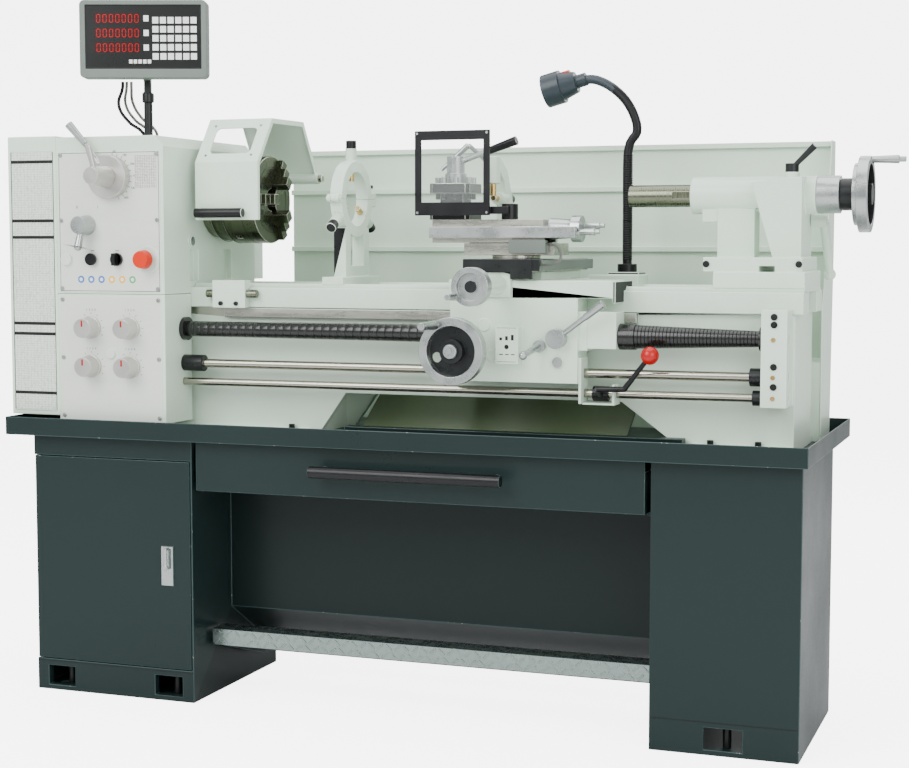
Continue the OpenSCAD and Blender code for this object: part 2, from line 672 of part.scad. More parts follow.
// ---- carriage ----
block_x = [165, 235];
cross_wheel_x = 206;
cross_screw_z = way_z + 13;
carriage_wheel_x = 130;
carriage_wheel_z = way_z - 126;
half_nut = [338, way_z - 99];
feed_lever_at = [298, way_z - 116];
follow_x = [103, 127];
module saddle() datum() {
    color("#d5dfd3") difference() {
        union() {
            for (y = [[-150, -60], [60, 150]]) box([car_x0, car_x1 - 11], y, [way_z, saddle_z]);
            box([cross_x - cross_w / 2, cross_x + cross_w / 2], [-150, 150], [way_z, bridge_z]);
            box([apron_x0, car_x1], [apron_y0, box_y1], [apron_z1, saddle_z]);
            box(block_x, [apron_y0 - 10, apron_y0], [apron_z1 + 1, bridge_z]);
            box(block_x, [apron_y0, -150], [saddle_z, bridge_z]);
            box([car_x0, car_x1 - 11], [half_w + 1, 150], [way_z - rail_t, way_z]);
            // key that guides the cross slide, and the bracket of its screw
            box([cross_x - 30, cross_x + 30], [-150, 150], [bridge_z, bridge_z + 8]);
            ycone(25, 21, [-330, apron_y0 - 10], cross_wheel_x, cross_screw_z);
        }
        for (side = [-1, 1]) vee(side, 0.3);
        ybar(shaft_r + run, [-331, -160], cross_wheel_x, cross_screw_z);
        // oil hole through the wing, beside the bridge
        zbar(6, [way_z - cut, saddle_z + cut], car_x1 - 40, -100);
    }
    // way wipers
    color("#1d1f20") difference() {
        union() {
            box([car_x1, car_x1 + 6], [apron_y0 + 2, -60], [way_z, saddle_z - 1]);
            box([car_x1, car_x1 + 6], [apron_y0 + 2, box_y1], [way_z - 24, way_z]);
        }
        for (side = [-1, 1]) vee(side, 0.3);
    }
    // lamp foot on an arm behind the cross slide
    color("#e4e4d4") box([330, car_x1 - 11], [60, 150], [saddle_z, saddle_z + 8]);
    color("#35393b") difference() {
        box([lamp_x - 36, lamp_x + 36], [lamp_y - 36, lamp_y + 28], [saddle_z + 8, saddle_z + 14]);
        zbar(6 + run, [saddle_z + 7, saddle_z + 15], lamp_x, lamp_y);
    }
    // follow rest: curved casting from the rear wing to a boss over the work
    color("#e6ece2") difference() {
        union() {
            xprism([[95, saddle_z], [145, saddle_z], [140, axis_z - 60], [126, axis_z + 10],
                [90, axis_z + 66],
                [40, axis_z + 92], [0, axis_z + 92], [0, axis_z + 74], [30, axis_z + 66], [66, axis_z + 40],
                [84, axis_z], [86, axis_z - 50]], follow_x);
            zbar(16, [axis_z + 32, axis_z + 92], follow_x[0] + 20, 0);
            ybar(14, [46, 100], follow_x[0] + 14, axis_z);
        }
        zbar(7, [axis_z + 31, axis_z + 40], follow_x[0] + 20, 0);
    }
    color("#c79a4b") zbar(7, [axis_z + 4, axis_z + 40], follow_x[0] + 20, 0);
    color("#c79a4b") ybar(7, [18, 46], follow_x[0] + 14, axis_z);
    color("#2b2d2e") ybar(11, [126, 146], follow_x[0] + 14, axis_z);
    // coolant pipe and nozzle
    color("#c9c9bd") strut([follow_x[0] + 13, 60, axis_z + 60], [70, -16, axis_z + 118], 5, 5);
    color("#c9c9bd") strut([70, -16, axis_z + 118], [8, -26, axis_z + 62], 7, 4);
}
housing_x = [400, 463];
module apron() datum() {
    color("#d8e2d5") difference() {
        union() {
            box([apron_x0, apron_x1], [apron_y0, box_y1], [apron_z0, apron_z1]);
            box([206, 258], [apron_y0 - 26, apron_y0], [way_z - 155, way_z - 75]);
            ybar(14, [apron_y0 - 3, apron_y0], 172, way_z - 73);
            ybar(13, [apron_y0 - 3, apron_y0], 190, way_z - 139);
        }
        xbar(lead_r + gap, [apron_x0 - cut, apron_x1 + cut], rod_y, lead_z);
        xbar(feed_r + gap, [apron_x0 - cut, apron_x1 + cut], rod_y, feed_z);
        ybar(shaft_r + run, [apron_y0 - cut, rod_y - 22], carriage_wheel_x, carriage_wheel_z);
        ybar(shaft_r + run, [apron_y0 - cut, rod_y - 22], half_nut[0], half_nut[1]);
        ybar(shaft_r + run, [apron_y0 - cut, rod_y - 22], feed_lever_at[0], feed_lever_at[1]);
    }
    color("silver") ybar(13, [apron_y0 - 5, apron_y0], 338, way_z - 150);
    // thread dial housing round the lead screw
    color("#dfe6dc") difference() {
        union() {
            box([apron_x1, housing_x[0]], [apron_y0 + 8, box_y1], [way_z - 125, way_z - 42]);
            box(housing_x, [rod_y - 34, box_y1], [way_z - 120, way_z - 42]);
        }
        xbar(lead_r + gap, [apron_x1 - cut, housing_x[1] + cut], rod_y, lead_z);
    }
    // bracket that holds the start lever on the control rod
    color("#dfe6dc") difference() {
        union() {
            box([apron_x1, apron_x1 + 6], [apron_y0 + 8, rod_y + 22], [way_z - 238, way_z - 140]);
            box([apron_x1 + 6, 458], [rod_y - 24, rod_y + 22], [way_z - 240, way_z - 236]);
            box([452, 458], [rod_y - 24, rod_y + 22], [way_z - 236, way_z - 196]);
        }
        xbar(control_r + gap, [apron_x1 - cut, 459], rod_y, control_z);
        xbar(feed_r + gap, [apron_x1 - cut, 459], rod_y, feed_z);
    }
}
module handwheel_grip(y, x, z, r) {
    ycone(r, r + 2, [y[0], y[1] - 14], x, z);
    ybar(r - 3, [y[1] - 14, y[1]], x, z);
}
module carriage_wheel() datum() {
    x = carriage_wheel_x;
    z = carriage_wheel_z;
    y = [-300, -272];
    r = carriage_wheel_r;
    color("#aeb5b5") difference() {
        ybar(r, y, x, z);
        ybar(r - 18, [y[0] - cut, y[1] + cut], x, z);
    }
    // dished web with a lightening hole, hub and shaft
    color("#3b3f42") difference() {
        union() {
            ybar(r - 17, [y[1] - 8, y[1]], x, z);
            ybar(26, [y[0] + 2, y[1]], x, z);
            ybar(18, [y[1], apron_y0 - gap], x, z);
            ybar(shaft_r, [apron_y0 - 2, rod_y - 24], x, z);
        }
        for (a = [200]) ybar(11, [y[0] - cut, y[1] + cut], x + 41 * cos(a), z + 41 * sin(a));
    }
    color("#a5acad") handwheel_grip([-392, y[0] + 3], x - 31, z + 56, 8);
}
module half_nut_lever() datum() {
    x = half_nut[0];
    z = half_nut[1];
    y1 = apron_y0 - gap;
    color("#a5acad") ybar(21, [y1 - 24, y1], x, z);
    color("#a5acad") ybar(shaft_r, [y1 - 1, rod_y - 24], x, z);
    color("#c3c6c4") strut([x + 14, y1 - 14, z + 9], [x + 66, y1 - 24, z + 46], 6, 6);
    color("#a5acad") strut([x + 66, y1 - 24, z + 46], [x + 108, y1 - 32, z + 76], 7.5, 8.5);
}
module feed_lever() datum() {
    x = feed_lever_at[0];
    z = feed_lever_at[1];
    y1 = apron_y0 - gap;
    color("#9aa0a2") ybar(13, [y1 - 10, y1], x, z);
    color("#9aa0a2") ybar(shaft_r, [y1 - 1, rod_y - 24], x, z);
    color("#9aa0a2") strut([x, y1 - 6, z], [x - 12, y1 - 78, z - 16], 8, 6);
    color("#9aa0a2") translate([x - 12, y1 - 78, z - 16]) sphere(r = 9);
}
module start_lever() datum() {
    y = rod_y;
    z = control_z;
    color("#1d1f20") difference() {
        xbar(16, [406, 440], y, z);
        xbar(control_r + run, [405, 441], y, z);
    }
    color("#1d1f20") {
        strut([424, y - 13, z], [424, y - 40, z + 12], 7, 6);
        strut([424, y - 40, z + 12], [484, y - 44, z + 14], 6, 6);
        translate([484, y - 44, z + 14]) sphere(r = 6);
        strut([484, y - 44, z + 14], [534, y - 50, z + 78], 6, 5);
    }
    color("#c9241c") translate([540, y - 51, z + 86]) sphere(r = 19);
}
module control_rod() datum() {
    x = [head_x1 - head_wall, bracket_x1 - 4];
    color("#c8c2b4") xbar(control_r, x, rod_y, control_z);
    color("#2b2d2e") difference() {
        xbar(16, [bracket_x0 - 20, bracket_x0 - gap], rod_y, control_z);
        xbar(control_r, [bracket_x0 - 21, bracket_x0], rod_y, control_z);
    }
}
module feed_rod() datum() {
    x = [head_x1 - head_wall, bracket_x1 - 4];
    color("#c8c2b4") xbar(feed_r, x, rod_y, feed_z);
    // overload coupling at the gearbox, thrust collar at the bracket
    color("#2b2d2e") for (c = [[head_x1 + gap, head_x1 + 52], [bracket_x0 - 26, bracket_x0 - gap]])
        difference() {
            xbar(19, c, rod_y, feed_z);
            xbar(feed_r, [c[0] - cut, c[1] + cut], rod_y, feed_z);
        }
}
module lead_screw() datum() {
    color("#b3ad9e") xbar(lead_r, [head_x1 - head_wall, bracket_x1 - 4], rod_y, lead_z);
}
// spiral sheet covers over the lead screw, either side of the apron
module spiral_cover(x, r0, r1) {
    inner = lead_r + 1.5;
    difference() {
        xcone(r0, r1, x, rod_y, lead_z);
        xbar(inner, [x[0] - cut, x[1] + cut], rod_y, lead_z);
    }
}
module screw_covers() datum() {
    color("#191a1b") spiral_cover([head_x1 + 10, apron_x0 - 2], 18, 21);
    color("#191a1b") spiral_cover([head_x1 + gap, head_x1 + 10], 27, 27);
    color("#191a1b") spiral_cover([housing_x[1] + gap, housing_x[1] + 40], 28, 27);
    color("#191a1b") spiral_cover([housing_x[1] + 40, bracket_x0 - 6], 25, 17);
    color("#191a1b") spiral_cover([bracket_x0 - 6, bracket_x0 - gap], 26, 26);
}
module cross_slide() datum() {
    x = [cross_x - cross_w / 2, cross_x + cross_w / 2];
    y = [cross_y0, -cross_y0];
    color("#c6c2b2") difference() {
        box(x, y, [bridge_z, cross_z]);
        box([cross_x - 30.3, cross_x + 30.3], [y[0] - cut, y[1] + cut], [bridge_z - cut, bridge_z + 8.5]);
    }
    // front way cover with its stepped corner
    color("#23282b") box(x, [y[0] - 10, y[0]], [bridge_z + 1, cross_z]);
    color("#23282b") box([x[1] - 48, x[1]], [y[0] - 10, y[0]], [bridge_z - 14, bridge_z + 1]);
    // encoder scale on the tailstock side
    color("#5b6461") box([x[1], x[1] + 18], [y[0] + 10, y[1] - 20], [bridge_z + 4, cross_z - 2]);
    color("#e9ebe8") box([x[1], x[1] + 16], [y[0] - 6, y[0] + 10], [bridge_z + 3, cross_z]);
}
module cross_wheel() datum() {
    x = cross_wheel_x;
    z = cross_screw_z;
    y = [-395, -368];
    color("#aeb5b5") difference() {
        union() {
            ybar(cross_wheel_r, y, x, z);
            ycone(cross_wheel_r - 4, 24, [y[1], y[1] + 20], x, z);
            ybar(24, [y[1] + 20, -330.5], x, z);
        }
        ybar(cross_wheel_r - 12, [y[0] - cut, y[0] + 12], x, z);
    }
    color("#2b2d2e") ybar(12, [y[0] + 4, y[0] + 12], x, z);
    color("#a5acad") ybar(shaft_r, [-330.5, -170], x, z);
    color("#a5acad") handwheel_grip([-452, y[0] + 3], x - 27, z - 20, 6);
}

// ---- compound slide and tool post ----
slide_z0 = cross_z + 8;
dove_z = base_z1 - 10;
module dovetail(grow) {
    x = [cross_x - 96, cross_x + 2];
    w = 36;
    xprism([[comp_y - w, dove_z - cut], [comp_y + w, dove_z - cut], [comp_y + w, dove_z],
        [comp_y + w + 10 + grow, base_z1 + 6 + grow], [comp_y - w - 10 - grow, base_z1 + 6 + grow],
        [comp_y - w, dove_z]], x);
}
module compound_base() datum() {
    color("#a6a69a") zbar(53, [cross_z, slide_z0], cross_x, comp_y);
    color("#b9b9ad") {
        box([cross_x - 103, cross_x + 103], [comp_y - 55, comp_y + 55], [slide_z0, dove_z]);
        dovetail(0);
    }
    // reading head of the slide's scale
    color("#4a5457")
        box([cross_x + 5, cross_x + 88], [comp_y - 73, comp_y - 55], [slide_z0 + 4, base_z1 - 4]);
}
screw_z = top_z - 20;
module top_slide() datum() {
    x = [cross_x + 78 - top_len, cross_x + 78];
    color("#c3c3b7") difference() {
        box(x, [comp_y - 55, comp_y + 55], [base_z1 - 9, top_z]);
        // dovetail way, open at both ends
        xprism([[comp_y - 36.3, dove_z - 2], [comp_y + 36.3, dove_z - 2], [comp_y + 36.3, dove_z],
            [comp_y + 47, base_z1 + 6.4], [comp_y - 47, base_z1 + 6.4], [comp_y - 36.3, dove_z]],
            [x[0] + 20, x[1] + cut]);
        xbar(shaft_r, [x[1] - 40, x[1] + cut], comp_y, screw_z);
        zbar(12 + run, [top_z - 12, top_z + cut], post_x, comp_y);
    }
    color("#a9a99c") difference() {
        xcone(24, 20, [x[1], x[1] + 50], comp_y, screw_z);
        xbar(shaft_r + run, [x[1] - cut, x[1] + 51], comp_y, screw_z);
    }
    // scale bar along the front
    color("#8b9691") box([x[0] - 2, x[1] + 75], [comp_y - 71, comp_y - 55], [base_z1 + 1, base_z1 + 25]);
}
module compound_wheel() datum() {
    x = [cross_x + 128.5, cross_x + 150];
    color("#aeb5b5") xbar(29, [x[0], x[1]], comp_y, screw_z);
    color("#a5acad") xbar(shaft_r, [x[0] - 60, x[0]], comp_y, screw_z);
    color("#a5acad") for (s = [-1, 1]) {
        xcone(6, 8, [x[1], x[1] + 34], comp_y + s * 20, screw_z + s * 7);
        xbar(5, [x[1] + 34, x[1] + 44], comp_y + s * 20, screw_z + s * 7);
    }
}
// square plate with its four corners cut off
module post_plate(z) {
    translate([post_x, comp_y, z[0]]) linear_extrude(z[1] - z[0]) difference() {
        square([post_w, post_w], center = true);
        for (a = [0 : 90 : 270]) rotate(a) translate([post_w / 2, post_w / 2]) rotate(45)
            square([12, 40], center = true);
    }
}
module tool_post() datum() {
    z = [top_z, top_z + 25, top_z + 58, top_z + post_h];
    color("#3a3f42") difference() {
        union() {
            post_plate([z[0], z[1]]);
            box([post_x - 27, post_x + 27], [comp_y - 27, comp_y + 27], [z[1], z[2]]);
            post_plate([z[2], z[3]]);
        }
        zbar(12 + run, [z[0] - cut, z[3] + cut], post_x, comp_y);
    }
    // tool clamping screws
    color("#8d8d82") for (s = [-1, 1], t = [-1, 1]) {
        zbar(6, [z[3], z[3] + 14], post_x + s * 37, comp_y + t * 14);
        zbar(6, [z[3], z[3] + 14], post_x + s * 14, comp_y + t * 37);
        zbar(5, [z[1] + 20, z[2]], post_x + s * 37, comp_y + t * 14);
        zbar(5, [z[1] + 20, z[2]], post_x + s * 14, comp_y + t * 37);
    }
}
module tool_post_lever() datum() {
    z0 = top_z + post_h;
    color("#b4b4aa") {
        zbar(12, [top_z - 11, z0], post_x, comp_y);
        zbar(24, [z0, z0 + 22], post_x, comp_y);
        zbar(20, [z0 + 22, z0 + 60], post_x, comp_y);
    }
    color("#b4b4aa") strut([post_x, comp_y, z0 + 44], [post_x + 78, comp_y - 8, z0 + 70], 6.5, 5.5);
    color("#2b2d2e") strut([post_x + 78, comp_y - 8, z0 + 70], [post_x + 146, comp_y - 14, z0 + 92], 8, 10);
}
guard_at = [cross_x - 4, -125];
module tool_guard() datum() {
    x = [2, 174];
    y = [-176, -170];
    z = [top_z + 9, top_z + 192];
    color("#1d1f20") difference() {
        box(x, y, z);
        box([x[0] + 14, x[1] - 14], [y[0] - cut, y[1] + cut], [z[0] + 28, z[1] - 20]);
    }
    color([0.8, 0.9, 0.9, 0.35]) box([x[0] + 14, x[1] - 14], [y[0] + 2, y[0] + 4], [z[0] + 28, z[1] - 20]);
    // clamp on the top slide and the arm between them
    color("#35393b") {
        zbar(18, [top_z, top_z + 34], guard_at[0], guard_at[1]);
        box([x[1] - 16, guard_at[0] + 6], [-162, -140], [top_z + 12, top_z + 28]);
        box([x[1] - 16, x[1] - 2], [y[1], -162], [top_z + 12, top_z + 28]);
    }
}
// lead of the slide's reading head
scale_lead = [[296.5, -154, 1050], [306, -154, 1050], [326, -166, 1042], [338, -186, 1024],
    [336, -204, 1010], [318, -213, 1006], [301.5, -213, 1006]];
module scale_cable() datum() {
    color("#2a2c2d") translate([0, 0, cross_z - 1018]) tube(scale_lead, 3, 8, [0.1, 0.2, 1], 3);
}

// ---- tailstock ----
module tailstock() datum() {
    w = 110;
    foot_z = way_z + 42;
    color("#d5dfd3") difference() {
        box([tail_x - 93, tail_x + 99], [-w, w], [way_z, foot_z]);
        for (side = [-1, 1]) vee(side, 0.3);
    }
    color("#d5dfd3") difference() {
        union() {
            box([tail_x - 116, tail_x + 92], [-w + 8, w - 8], [foot_z, foot_z + 30]);
            box([tail_x - 101, tail_x - 21], [-30, 30], [foot_z + 30, axis_z - 29]);
            yprism([[tail_x - 23, axis_z + 26], [tail_x + 24, foot_z + 30], [tail_x + 84, foot_z + 30],
                [tail_x + 84, axis_z + 36]], [-70, 70]);
            xbar(barrel_r, [tail_x - 160, tail_x + 107], 0, axis_z);
            box([tail_x - 135, tail_x - 89], [-26, 26], [axis_z - 57, axis_z]);
            // boss of the quill lock
            zbar(16, [axis_z, axis_z + 46], tail_x + 60, -52);
        }
        xbar(quill_r + run, [tail_x - 161, tail_x + 94], 0, axis_z);
        xbar(12 + run, [tail_x + 93, tail_x + 108], 0, axis_z);
        // relief above the foot, and the lock's bore
        box([tail_x + 2, tail_x + 35], [-w, w], [foot_z - cut, foot_z + 12]);
        zbar(6 + run, [axis_z + 20, axis_z + 47], tail_x + 60, -52);
        xbar(6 + run, [tail_x + 72, tail_x + 85], 60, axis_z - 54);
    }
    // clamp plate between the ways
    color("#8d8d82") box([tail_x - 60, tail_x + 60], [-50, 50], [way_z - 20, way_z]);
}
module quill() datum() {
    x = [tail_x - 300, tail_x - 41];
    color("#c8c8bd") difference() {
        xbar(quill_r, x, 0, axis_z);
        xcone(12.1, 10.1, [x[0] - cut, x[0] + 81], 0, axis_z);
        box([x[0] + 99, x[1] - 40], [-quill_r - cut, -20], [axis_z - 7, axis_z + 7]);
    }
}
module tail_wheel() datum() {
    x = [tail_x + 107.5, tail_x + 155, tail_x + 184, tail_x + 194, tail_x + 217];
    r = tail_wheel_r;
    color("#a5acad") xbar(barrel_r, [x[0], x[1]], 0, axis_z);
    color("#2b2d2e") xbar(34, [x[1], x[2]], 0, axis_z);
    color("#a5acad") xbar(12, [x[0] - 14, x[0]], 0, axis_z);
    color("#aeb5b5") difference() {
        xbar(r, [x[3], x[4]], 0, axis_z);
        xbar(r - 16, [x[3] - cut, x[4] + cut], 0, axis_z);
    }
    color("#2b2d2e") difference() {
        xbar(r - 15, [x[2], x[3] + 4], 0, axis_z);
        for (a = [0 : 120 : 240]) xbar(15, [x[2] - cut, x[3] + 5], 42 * cos(a), axis_z + 42 * sin(a));
    }
    color("#2b2d2e") xbar(22, [x[3] + 4, x[4] + 3], 0, axis_z);
    color("#a5acad") {
        xcone(7, 9, [x[4], x[4] + 56], 0, axis_z + r - 8);
        xbar(6, [x[4] + 56, x[4] + 70], 0, axis_z + r - 8);
    }
}
module quill_lock() datum() {
    x = tail_x + 60;
    z0 = axis_z + 46;
    color("#2b2d2e") {
        zbar(6, [z0 - 20, z0 + 4], x, -52);
        zbar(14, [z0, z0 + 18], x, -52);
    }
    color("#2b2d2e") strut([x + 2, -53, z0 + 10], [x + 48, -62, z0 + 54], 5, 7);
}
clamp_at = [tail_x + 112, 60, axis_z - 54];
module tail_clamp() datum() {
    c = clamp_at;
    color("#c5ccc4") {
        xbar(6, [tail_x + 73, tail_x + 86], c[1], c[2]);
        xbar(14, [tail_x + 85, tail_x + 118], c[1], c[2]);
        strut([c[0], c[1], c[2]], [c[0] + 6, 118, way_z + 34], 10, 9);
        translate([c[0] + 6, 118, way_z + 34]) sphere(r = 13);
    }
}

// ---- fixed steady ----
steady_x = -225;
steady_t = 15;
steady_knob = [steady_in_r, 40, 80, 115, 135];
steady_hinge = [-(steady_out_r + 12), 10];
module steady_finger(angle) {
    k = steady_knob;
    color("#c5cdc3") around(angle) translate([steady_x, 0, 0]) difference() {
        rotate([-90, 0, 0]) translate([0, 0, k[0] + 4]) cylinder(r = 13, h = k[3] - k[0] - 4);
        rotate([-90, 0, 0]) translate([0, 0, k[0]]) cylinder(r = 7, h = k[3] - k[0] + cut);
    }
    color("#c79a4b") around(angle) translate([steady_x, 0, 0])
        rotate([-90, 0, 0]) translate([0, 0, k[1]]) cylinder(r = 7, h = k[3] - k[1]);
    color("#2b2d2e") around(angle) translate([steady_x, 0, 0])
        rotate([-90, 0, 0]) translate([0, 0, k[3]]) cylinder(r = 12, h = k[4] - k[3]);
}
module steady_ring(z, angles) {
    x = [steady_x - steady_t, steady_x + steady_t];
    difference() {
        xbar(steady_out_r, x, 0, axis_z);
        xbar(steady_in_r, [x[0] - cut, x[1] + cut], 0, axis_z);
        box([x[0] - cut, x[1] + cut], [-steady_out_r - cut, steady_out_r + cut], z);
        for (a = angles) around(a) translate([steady_x, 0, 0])
            rotate([-90, 0, 0]) cylinder(r = 7, h = steady_out_r + cut);
    }
}
module steady_rest() datum() {
    x = [steady_x - steady_t, steady_x + steady_t];
    color("#d5dfd3") steady_ring([axis_z - gap / 2, axis_z + steady_out_r + cut], [210, 330]);
    color("#d5dfd3") difference() {
        union() {
            box([steady_x - 26, steady_x + 26], [-110, 110], [way_z, way_z + 25]);
            for (s = [-1, 1]) box(x, [s * 53 - 15, s * 53 + 15], [way_z + 25, axis_z - 66]);
            box(x, [-38, 38], [way_z + 25, way_z + 50]);
        }
        for (side = [-1, 1]) vee(side, 0.3);
    }
    color("#8d8d82") box([steady_x - 22, steady_x + 22], [-50, 50], [way_z - 18, way_z]);
    // hinge eyes and the catch screw's lug
    color("#c5cdc3") for (e = [[x[0], x[0] + 9], [x[1] - 9, x[1]]]) difference() {
        union() {
            xbar(9, e, steady_hinge[0], axis_z);
            box(e, [steady_hinge[0], -steady_out_r + 6], [axis_z - 9, axis_z - gap / 2]);
        }
        xbar(5 + run, [e[0] - cut, e[1] + cut], steady_hinge[0], axis_z);
    }
    color("#c5cdc3") box(x, [steady_out_r - 4, steady_out_r + 24], [axis_z - 16, axis_z - gap / 2]);
    steady_finger(210);
    steady_finger(330);
}
module steady_top() datum() {
    x = [steady_x - steady_t, steady_x + steady_t];
    color("#d5dfd3") steady_ring([axis_z - steady_out_r - cut, axis_z + gap / 2], [90]);
    color("#c5cdc3") {
        box([x[0] + 9.5, x[1] - 9.5], [steady_hinge[0], -steady_out_r + 6], [axis_z + gap / 2, axis_z + 8]);
        xbar(8, [x[0] + 9.5, x[1] - 9.5], steady_hinge[0], axis_z);
        xbar(5, [x[0] - 3, x[1] + 3], steady_hinge[0], axis_z);
        box(x, [steady_out_r - 4, steady_out_r + 24], [axis_z + gap / 2, axis_z + 16]);
    }
    color("#2b2d2e") {
        zbar(5, [axis_z + 16, axis_z + 26], steady_x, steady_out_r + 14);
        zbar(11, [axis_z + 26, axis_z + 36], steady_x, steady_out_r + 14);
    }
    steady_finger(90);
}

// ---- controls ----
module control_shaft(x, z) { ybar(shaft_r, [plate_y - gap - 1, shaft_end - 2], x, z); }
module speed_dial() datum() {
    x = dial_x;
    z = dial_z;
    color("#d9d6cc") difference() {
        union() {
            ybar(dial_r, [plate_y - 22, plate_y - gap], x, z);
            control_shaft(x, z);
        }
        ybar(6 + run, [plate_y - 23, shaft_end], x, z);
    }
    color("#d9d6cc") strut([x - 20, plate_y - 16, z + 28], [x - 52, plate_y - 22, z + 74], 8, 6);
    color("#2b2d2e") strut([x - 52, plate_y - 22, z + 74], [x - 91, plate_y - 30, z + 120], 7, 9.5);
}
module range_knob() datum() {
    x = dial_x;
    z = dial_z;
    y = [plate_y - 88, plate_y - 22.5];
    color("#a5acad") {
        ycone(19, 24, y, x, z);
        ybar(6, [y[1], shaft_end - 2], x, z);
    }
    color("#2b2d2e") strut([x, y[0] + 16, z + 16], [x - 10, y[0] + 10, z + 66], 6, 8);
}
module direction_lever() datum() {
    x = lever_x;
    z = lever_z;
    color("#2b2d2e") {
        ycone(20, 23, [plate_y - 40, plate_y - gap], x, z);
        control_shaft(x, z);
        strut([x, plate_y - 26, z - 12], [x - 4, plate_y - 34, z - 50], 7, 9);
        translate([x - 4, plate_y - 34, z - 50]) sphere(r = 9);
    }
}
module feed_knob(x, z) datum() {
    color("#a5acad") {
        ycone(feed_knob_r, feed_knob_r + 2, [plate_y - 40, plate_y - 6], x, z);
        ybar(26, [plate_y - 6, plate_y - gap], x, z);
        control_shaft(x, z);
    }
    // pointer
    color("#b5281e") box([x - 2, x + 2], [plate_y - 41, plate_y - 39], [z + 4, z + feed_knob_r - 4]);
}
module feed_knob_1() feed_knob(knob_x[0], knob_z[0]);
module feed_knob_2() feed_knob(knob_x[1], knob_z[0]);
module feed_knob_3() feed_knob(knob_x[0], knob_z[1]);
module feed_knob_4() feed_knob(knob_x[1], knob_z[1]);
module start_button() datum() {
    color("#3f9a52") {
        ybar(14, [plate_y - 12, plate_y - 5], button_x[0], button_z);
        ybar(shaft_r, [plate_y - 5, shaft_end - 6], button_x[0], button_z);
    }
}
module selector_switch() datum() {
    x = button_x[1];
    z = button_z;
    color("#1d1f20") {
        ybar(15, [plate_y - 8, plate_y - gap], x, z);
        box([x - 4, x + 4], [plate_y - 22, plate_y - 8], [z - 14, z + 14]);
        control_shaft(x, z);
    }
}
module stop_button() datum() {
    x = button_x[2];
    z = button_z;
    color("#c9241c") {
        ycone(19, 22, [plate_y - 34, plate_y - 14], x, z);
        ybar(13, [plate_y - 14, plate_y - 8], x, z);
        ybar(shaft_r, [plate_y - 8, shaft_end - 8], x, z);
    }
}

// ---- lamp ----
lamp_neck = [[0, 0, way_z + 150], [0, 0, way_z + 308], [20, 0, way_z + 351], [14, 0, way_z + 387],
    [-7, 0, way_z + 424], [-40, 0, way_z + 454], [-76, 0, way_z + 471], [-104, 0, way_z + 472]];
module work_lamp() datum() {
    base_z = saddle_z + 14;
    translate([lamp_x, lamp_y, 0]) {
        color("#4b5357") {
            zbar(6, [saddle_z + 8.5, base_z], 0, 0);
            zbar(22, [base_z, base_z + 18], 0, 0);
        }
        color("#3b4144") zbar(10.5, [base_z + 18, way_z + 152], 0, 0);
        color("#3b4144") tube(lamp_neck, 10.5, 14, [0, 1, 0], 4);
        // head: neck socket, body and flared shade
        color("#7b8790") translate([-98, 0, way_z + 474]) rotate([0, -105, 0]) difference() {
            union() {
                cylinder(r = 15, h = 28);
                translate([0, 0, 24]) cylinder(r1 = 24, r2 = lamp_r - 6, h = 36);
                translate([0, 0, 59]) cylinder(r = lamp_r, h = 42);
            }
            translate([0, 0, 62]) cylinder(r = lamp_r - 3, h = 41);
        }
        color("#1d1f20") translate([-98, 0, way_z + 474]) rotate([0, -105, 0])
            box([24, 31], [-8, 8], [34, 54]);
        color("#f5f1dc") translate([-98, 0, way_z + 474]) rotate([0, -105, 0])
            translate([0, 0, 62]) cylinder(r = 22, h = 20);
    }
}

// ---- bed stop ----
module bed_stop() datum() {
    x = [head_x1 + 68, head_x1 + 151];
    color("#9aa59b") difference() {
        union() {
            box(x, [-half_w - 24, -half_w + 6], [way_z, way_z + 17]);
            box(x, [-half_w - 24, -half_w - 0.3], [way_z - 46, way_z]);
        }
        for (side = [-1, 1]) vee(side, 0.3);
        xbar(9, [x[0] - cut, x[1] + cut], -half_w - 12, way_z - 14);
    }
    // micrometer stop rod
    color("#c8c8bd") xbar(9, [x[0] - 20, x[1] + 26], -half_w - 12, way_z - 14);
    color("#2b2d2e") for (d = [22, 61]) ybar(5, [-half_w - 30, -half_w - 24], x[0] + d, way_z - 36);
}

left_cabinet();
right_cabinet();
chip_tray();
bed();
headstock();
feed_gearbox();
splash_guard();
drive_motor();
dro_post();
fasteners();
screw_covers();
dro_cables();
spindle();
chuck();
jaw_1();
jaw_2();
jaw_3();
chuck_guard();
saddle();
apron();
carriage_wheel();
half_nut_lever();
feed_lever();
start_lever();
control_rod();
lead_screw();
feed_rod();
cross_slide();
cross_wheel();
compound_base();
top_slide();
compound_wheel();
tool_post();
tool_post_lever();
tool_guard();
scale_cable();
tailstock();
quill();
tail_wheel();
quill_lock();
tail_clamp();
steady_rest();
steady_top();
speed_dial();
range_knob();
direction_lever();
feed_knob_1();
feed_knob_2();
feed_knob_3();
feed_knob_4();
start_button();
selector_switch();
stop_button();
dro_display();
work_lamp();
chip_drawer();
cabinet_door();
brake_pedal();
end_cover();
bed_stop();
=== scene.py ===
"""Centre lathe: the detailed pieces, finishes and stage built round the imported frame."""

import json
import math

import bmesh
import bpy
from mathutils import Matrix, Vector


